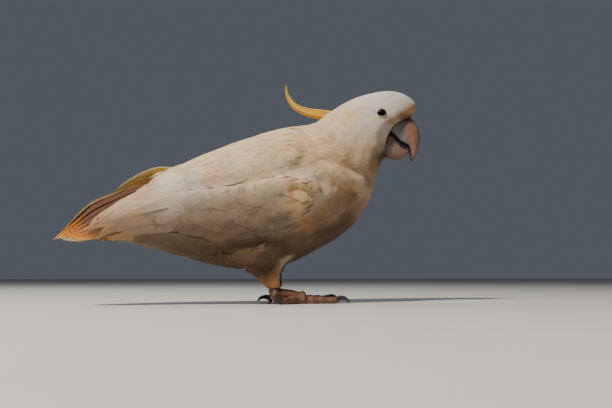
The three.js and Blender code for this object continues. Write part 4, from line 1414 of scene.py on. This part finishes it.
def bill_half(name, pairs, hollow, material, node):
    """One half of the bill: a horn shell with a sharp edge each side and a hollow between them."""
    rings, outer, inner = 60, 34, 10
    t = np.linspace(0, 1, rings)
    ridge = curve([p[0] for p in pairs], t)
    edge = curve([p[1] for p in pairs], t)
    half = curve([p[2] for p in pairs], t)
    turn = np.linspace(-BILL_WRAP, BILL_WRAP, outer) * math.pi / 180
    cut = math.cos(turn[0])
    face_line = curve(FACE_LINE, np.linspace(0, 1, 60))
    points, tones = [], []
    for r in range(rings):
        middle = (edge[r] - ridge[r] * cut) / (1 - cut)
        reach = ridge[r] - middle
        out = half[r] * np.sign(np.sin(turn)) * np.abs(np.sin(turn)) ** 0.85
        growth = 1 + 0.006 * math.sin(47 * t[r]) * ramp(0, 0.1, t[r]) + 0.004 * math.sin(101 * t[r])
        shell = [(middle + reach * math.cos(a) * growth, y * growth) for a, y in zip(turn, out)]
        for k in range(1, inner + 1):
            q = 1 - 2 * k / (inner + 1)
            rise = hollow * (1 - abs(q) ** 2.5)
            shell.append((edge[r] + (ridge[r] - edge[r]) * rise, out[-1] * 0.93 * q))
        for k, (xz, y) in enumerate(shell):
            points.append(in_head(xz[0], y, xz[1]))
            seam = np.linalg.norm(face_line - xz, axis=1).min() / TONE_REACH
            brink = np.linalg.norm(xz - edge[r]) / TONE_REACH
            tones.append((min(seam, 1), min(brink, 1), float(k >= outer), t[r]))
    columns = outer + inner
    faces = [grid_faces(rings, columns, closed=True), end_caps(rings, columns)]
    made = mesh_object(name, np.array(points), faces, material, tone=np.array(tones))
    turn_outwards(made)
    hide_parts(node)


def tube(path, radius, around, squash=1.0, up=UP, floor=None):
    """A closed round tube along path, as points and faces."""
    way = unit(np.gradient(path, axis=0))
    side = unit(np.cross(np.broadcast_to(up, way.shape), way))
    over = np.cross(way, side)
    a = np.linspace(0, 2 * math.pi, around, endpoint=False)
    ring = side[:, None] * np.cos(a)[:, None] + over[:, None] * (np.sin(a) * squash)[:, None]
    points = (path[:, None] + ring * radius[:, None, None]).reshape(-1, 3)
    if floor is not None:
        points[:, 2] = np.maximum(points[:, 2], floor)
    return points, grid_faces(len(path), around, closed=True), end_caps(len(path), around)


def tongue():
    t = np.linspace(0, 1, 26)
    line = curve([(31, 171.5), (38.5, 169), (44.5, 163.6), (50.5, 159.4), (55.6, 157.2)], t)
    radius = mix(6.0, 3.2, ramp(0.3, 0.75, t)) * np.sqrt(np.clip(1.001 - t**6, 0, 1))
    points, faces, caps = tube(in_head(line[:, 0], 0.0, line[:, 1]), radius, 24, squash=0.5)
    made = mesh_object("tongue_flesh", points, [faces, caps], TONGUE_LOOK)
    turn_outwards(made)
    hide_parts("tongue")


# ---------------------------------------------------------------- eyes and lids
EYE_OPEN = (4.25, 3.6)  # half the opening between the lids, ahead and up
RING_REACH = 7.9  # from the middle of the eye to where the face feathers begin
LID_RINGS, LID_AROUND = 34, 120
CORNEA = 0.035  # how far the cornea stands out, as a share of the eye's radius
# Creases round the eye: how far out from the lids' edge, how deep in mm, and how wide.
CREASES = [(0.20, 0.35, 0.03), (0.33, 0.30, 0.025), (0.50, 0.75, 0.045), (0.64, 0.3, 0.03)]


def eyeball(word, side):
    """The ball with its cornea, which stands a little out of it."""
    rings, around = 40, 48
    a = np.linspace(0, math.pi, rings)[:, None]
    b = np.linspace(0, 2 * math.pi, around, endpoint=False)[None]
    bulge = EYE_RADIUS * (1 + CORNEA * bell(a, 0.55))
    out = side * SIDEWAYS
    points = EYE_MIDDLE[word] + (bulge * np.cos(a) * np.ones_like(b))[..., None] * out
    points = points + (bulge * np.sin(a) * np.cos(b))[..., None] * AHEAD
    points = points + (bulge * np.sin(a) * np.sin(b))[..., None] * UP
    made = mesh_object(f"eyeball_{word}", points.reshape(-1, 3), [grid_faces(rings, around, True)],
                       eye_material(word, side))
    turn_outwards(made)
    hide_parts(f"eye_{word}")


def lids(word, side):
    """The bare ring round an eye: rounded lid edges, uneven folds and a crease below and behind."""
    rng = np.random.default_rng(7 + side)
    angle = np.linspace(0, 2 * math.pi, LID_AROUND, endpoint=False)
    waves = [(k, rng.uniform(0, 2 * math.pi), rng.uniform(0.4, 1) / k**0.5) for k in (2, 3, 5, 8)]
    uneven = sum(size * np.sin(k * angle + start) for k, start, size in waves)
    below = 0.5 + 0.5 * np.cos(angle - math.radians(-78))
    corner = bell(np.angle(np.exp(1j * (angle - math.radians(-28)))), 0.5)
    behind = bell(np.angle(np.exp(1j * (angle - math.radians(184)))), 0.4)
    points, tones = [], []
    for r in range(LID_RINGS):
        q = r / (LID_RINGS - 1)
        wide = 1 + q * (0.012 * uneven + 0.10 * corner)
        ahead = np.cos(angle) * mix(EYE_OPEN[0] + 0.5 * corner + 0.35 * behind, RING_REACH, q) * wide
        rise = np.sin(angle) * mix(EYE_OPEN[1] - 0.15 * below, RING_REACH * 0.97, q) * wide
        far = np.hypot(ahead, rise)
        ball = np.sqrt(np.maximum((EYE_RADIUS + 0.25) ** 2 - far**2, 0.0))
        face = face_height(word, side, ahead, rise)
        out = mix(ball, face - 0.5, ramp(0.14, 0.6, q))
        lip = 0.5 * bell(q - 0.10, 0.07) - 1.2 * bell(q, 0.03)
        q_uneven = q + 0.018 * uneven
        crease = -sum(deep * bell(q_uneven - at, reach) * (0.35 + 0.65 * below if at > 0.3 else 1.0)
                      for at, deep, reach in CREASES)
        bulge = 0.35 * bell(q_uneven - 0.41, 0.07) * below + 0.25 * bell(q_uneven - 0.58, 0.06) * below
        out = out + lip + crease + bulge - 1.9 * ramp(0.62, 0.95, q)
        points.append(by_eye(word, side, ahead, rise, out))
        tone = np.ones((LID_AROUND, 4))
        # Painted shade: the tone is darker in the deeper creases and at the lids' edge.
        tone[:, 0] = np.clip(1 + crease * 1.7 - 0.9 * bell(q, 0.05), 0, 1)
        tones.append(tone)
    return np.concatenate(points), halved(grid_faces(LID_RINGS, LID_AROUND, True)), np.concatenate(tones)


def by_eye(word, side, ahead, rise, out):
    """Places given from the middle of an eye: ahead, up and outwards."""
    across = ahead[..., None] * AHEAD + rise[..., None] * UP
    return EYE_MIDDLE[word] + across + out[..., None] * side * SIDEWAYS


def face_height(word, side, ahead, rise):
    """How far out from the eye's middle the feathered face is, at places round the eye."""
    far = np.maximum(np.hypot(ahead, rise), 1e-6)
    scale = RING_REACH / far
    out = []
    for p in by_eye(word, side, ahead * scale, rise * scale, np.full_like(far, 30)):
        hit = REGION_SURFACES["body"].tree.ray_cast(Vector(p), Vector(-side * SIDEWAYS))[0]
        out.append((np.array(hit) - EYE_MIDDLE[word]) @ (side * SIDEWAYS) if hit is not None else 2.0)
    return mix(np.array(out).mean(), np.array(out), (far / RING_REACH) ** 1.5)


# ---------------------------------------------------------------- feet
# Each toe's direction, in degrees from straight ahead and turning outwards, its length from the
# middle of the foot and its radius.
TOES = {1: (204, 19, 3.4), 2: (-15, 27, 3.7), 3: (12, 38, 4.0), 4: (150, 33, 3.8)}
SHANK_RADIUS = 4.4
CLAW_LENGTH, CLAW_RADIUS = 13, 2.5
FOOT_VOXEL = 0.55
FOOT_SMOOTHING = 5
SCUTE = 2.5  # length of the plates on top of the toes
SCALE = 1.25  # width of the small scales elsewhere
SCUTE_HIGH, SCALE_HIGH = 0.42, 0.30
SEAMS_SUNK = 0.25  # how far the seams between them are pressed in
OFF_FLOOR = 0.03


def toe_way(side, toe):
    turn = math.radians(TOES[toe][0])
    return np.array([math.cos(turn), side * math.sin(turn), 0.0])


def toe_line(word, side, toe, t):
    _, length, radius = TOES[toe]
    way = toe_way(side, toe)
    steps = zip((0.08, 0.4, 0.75, 1), (0.84, 0.8, 0.74, 0.68))
    places = [BALL[word] * [1, 1, 0] + share * length * way + UP * height * radius for share, height in steps]
    return curve(places, t)


def foot(word, side):
    """The bare shank and toes with their scales, as points, triangles and tones."""
    parts, lines = [], []
    t = np.linspace(0, 1, 40)
    for toe, (_, length, radius) in TOES.items():
        pads = round(length / 10)
        line = toe_line(word, side, toe, t)
        wide = radius * (0.96 + 0.07 * np.cos(2 * math.pi * pads * t)) * mix(1.08, 0.86, t)
        wide = wide * np.sqrt(np.clip(1.02 - t**12, 0, 1))
        parts.append(tube(line, wide, 28))
        lines.append(line)
    ankle, ball = ANKLE[word], BALL[word]
    path = [ankle + [-5.5, 0, 0.5], ankle + [1, 0, -1], mix(ankle, ball, 0.55) + [0, 0, 0.6],
            ball + [-1, 0, 0], ball + [6, 0, -1]]
    line = curve(path, t)
    wide = SHANK_RADIUS + 2.0 * bell(t - 0.1, 0.16) + 2.0 * bell(t - 0.86, 0.14)
    parts.append(tube(line, wide * np.sqrt(np.clip(1.03 - np.abs(2 * t - 1) ** 9, 0, 1)), 32))
    shin = np.stack([ankle + [-2, 0, 0], ankle + [-3, 0, 10], ankle + [-5, 0, 22]])
    parts.append(tube(curve(shin, t), mix(4.6, 5.2, t), 28))
    parts = [(points, np.concatenate([halved(faces), caps])) for points, faces, caps in parts]
    return scaled(Surface(*remeshed(*joined(parts), FOOT_VOXEL, FOOT_SMOOTHING)), lines)


def scaled(foot_surface, toe_lines):
    """Presses the seams of the scales into a foot: plates on top of the toes, and small scales."""
    points, normals = foot_surface.points, foot_surface.normals
    seeds = spread(foot_surface, lambda p: np.full(len(p), SCALE), 61)
    tree = kd_tree(seeds)
    two = [tree.find_n(p, 2) for p in points.tolist()]
    first, second = (np.array([pair[k][2] for pair in two]) for k in (0, 1))
    pick = np.array([pair[0][1] for pair in two])
    grain = ramp(0.0, 0.45, second - first)
    gap = np.full(len(points), 1e9)
    seam = np.ones(len(points))
    for line in toe_lines:
        steps = np.linalg.norm(points[:, None] - line[None], axis=2)
        near = steps.min(1)
        run = np.concatenate([[0], np.cumsum(np.linalg.norm(np.diff(line, axis=0), axis=1))])
        share = np.exp(-(steps**2 - near[:, None] ** 2) / 2.0)
        place = (share * run).sum(1) / share.sum(1)
        own = np.abs((place / SCUTE + 0.25) % 1 - 0.5) * 2
        closer = near < gap
        seam = np.where(closer, ramp(1.0, 0.72, own), seam)
        gap = np.where(closer, near, gap)
    far_from_ankle = np.linalg.norm(points[:, None] - np.stack([ANKLE[w] for w, _ in SIDES])[None], axis=2)
    top = ramp(0.35, 0.7, normals[:, 2]) * ramp(12, 16, far_from_ankle.min(1))
    height = mix(grain * SCALE_HIGH, seam * SCUTE_HIGH, top)
    shade = mix(grain, seam, top)
    points = points + normals * (height - SEAMS_SUNK)[:, None]
    points[:, 2] = np.maximum(points[:, 2], OFF_FLOOR)
    tone = np.ones((len(points), 4))
    tone[:, 0] = shade
    tone[:, 1] = np.random.default_rng(7).uniform(0, 1, len(seeds))[pick] * (1 - top)
    return points, foot_surface.triangles, tone


def claws(word, side):
    """The four claws of a foot, which curve down to the ground."""
    t = np.linspace(0, 1, 26)
    parts = []
    for toe, (_, _, radius) in TOES.items():
        end = toe_line(word, side, toe, 1)[0] * [1, 1, 0]
        way = toe_way(side, toe)
        steps = ((-0.3, radius * 0.9), (0.2, radius + 1.6), (0.6, radius + 0.4), (0.86, 0.5))
        line = curve([end + share * CLAW_LENGTH * way + UP * height for share, height in steps], t)
        wide = CLAW_RADIUS * mix(1, 0.16, t**1.3)
        parts.append(tube(line, wide, 20, squash=1.15, floor=0.02))
    points, *faces = joined(parts)
    made = mesh_object(f"claws_{word}", points, faces, CLAW_LOOK)
    turn_outwards(made)
    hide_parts(*[f"leg_{word}_claw_{toe}" for toe in TOES])


def build_skin():
    """One object for all the skin: the body, the bare rings round the eyes, and the feet."""
    parts = [(SKIN.points, SKIN.triangles)]
    tones = [np.ones((len(SKIN.points), 4))]
    looks = [0]
    for word, side in SIDES:
        for look, build in ((1, lids), (2, foot)):
            points, triangles, tone = build(word, side)
            parts.append((points, triangles))
            tones.append(tone)
            looks.append(look)
    points, triangles = joined(parts)
    made = mesh_object("skin", points, [triangles], SKIN_LOOK, tone=np.concatenate(tones))
    made.data.materials.append(LID_LOOK)
    made.data.materials.append(FOOT_LOOK)
    looks = np.repeat(looks, [len(part[1]) for part in parts])
    made.data.polygons.foreach_set("material_index", looks.astype(np.int32))
    turn_outwards(made)
    bare_parts = [f"leg_{w}_{part}" for w, _ in SIDES for part in ("shank", *(f"toe_{k}" for k in TOES))]
    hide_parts(*FLESH, *bare_parts)


# ---------------------------------------------------------------- camera, light and floor
CAMERA = in_body(-349.7, -763.8, 25)
CAMERA_TURN = math.radians(-25)  # from looking along +Y, towards +X
CAMERA_CLIMB = math.radians(4.94)


def camera():
    data = bpy.data.cameras.new("camera")
    data.lens = 50
    data.sensor_width = 36
    data.clip_start = 0.01
    made = in_scene("camera", data)
    made.location = CAMERA * MM
    made.rotation_euler = (math.radians(90) + CAMERA_CLIMB, 0, CAMERA_TURN)
    bpy.context.scene.camera = made


LAMP_AIM = Vector((0, 0, 0.12))


def lamp(name, place, power, size, colour):
    data = bpy.data.lights.new(name, "AREA")
    data.energy = power
    data.shape = "DISK"
    data.size = size
    data.color = colour
    made = in_scene(name, data)
    made.location = Vector(place)
    made.rotation_euler = (LAMP_AIM - Vector(place)).to_track_quat("-Z", "Y").to_euler()


def studio():
    """A pale floor under a grey-blue backdrop, one soft key light and a faint one from behind."""
    world = bpy.data.worlds.new("studio")
    world.use_nodes = True
    sky = world.node_tree.nodes["Background"].inputs
    sky["Color"].default_value = (0.33, 0.37, 0.44, 1)
    sky["Strength"].default_value = 0.27
    bpy.context.scene.world = world
    lamp("key", (-1.25, -0.75, 1.7), 81, 0.3, (1.0, 0.92, 0.80))
    lamp("rim", (-0.5, 1.0, 1.4), 9, 0.6, (0.85, 0.92, 1.0))
    mesh = bpy.data.meshes.new("floor")
    far = 12.0  # metres to each side
    mesh.from_pydata([(-far, -far, 0), (far, -far, 0), (far, far, 0), (-far, far, 0)], [], [(0, 1, 2, 3)])
    floor = in_scene("floor", mesh)
    shader = Shader("floor", Roughness=0.8)
    shader.colour(shader.mix(shader.noise(160, 3), (0.50, 0.49, 0.47), (0.55, 0.54, 0.52)))
    mesh.materials.append(shader.material)


build_skin()
make_coat()
for word, side in SIDES:
    flight(word, side)
    eyeball(word, side)
    claws(word, side)
tail()
crest()
bill_half("bill_upper_horn", UPPER_BILL, 0.3, UPPER_LOOK, "bill_upper")
bill_half("bill_lower_horn", LOWER_BILL, 0.35, LOWER_LOOK, "bill_lower")
tongue()
camera()
studio()
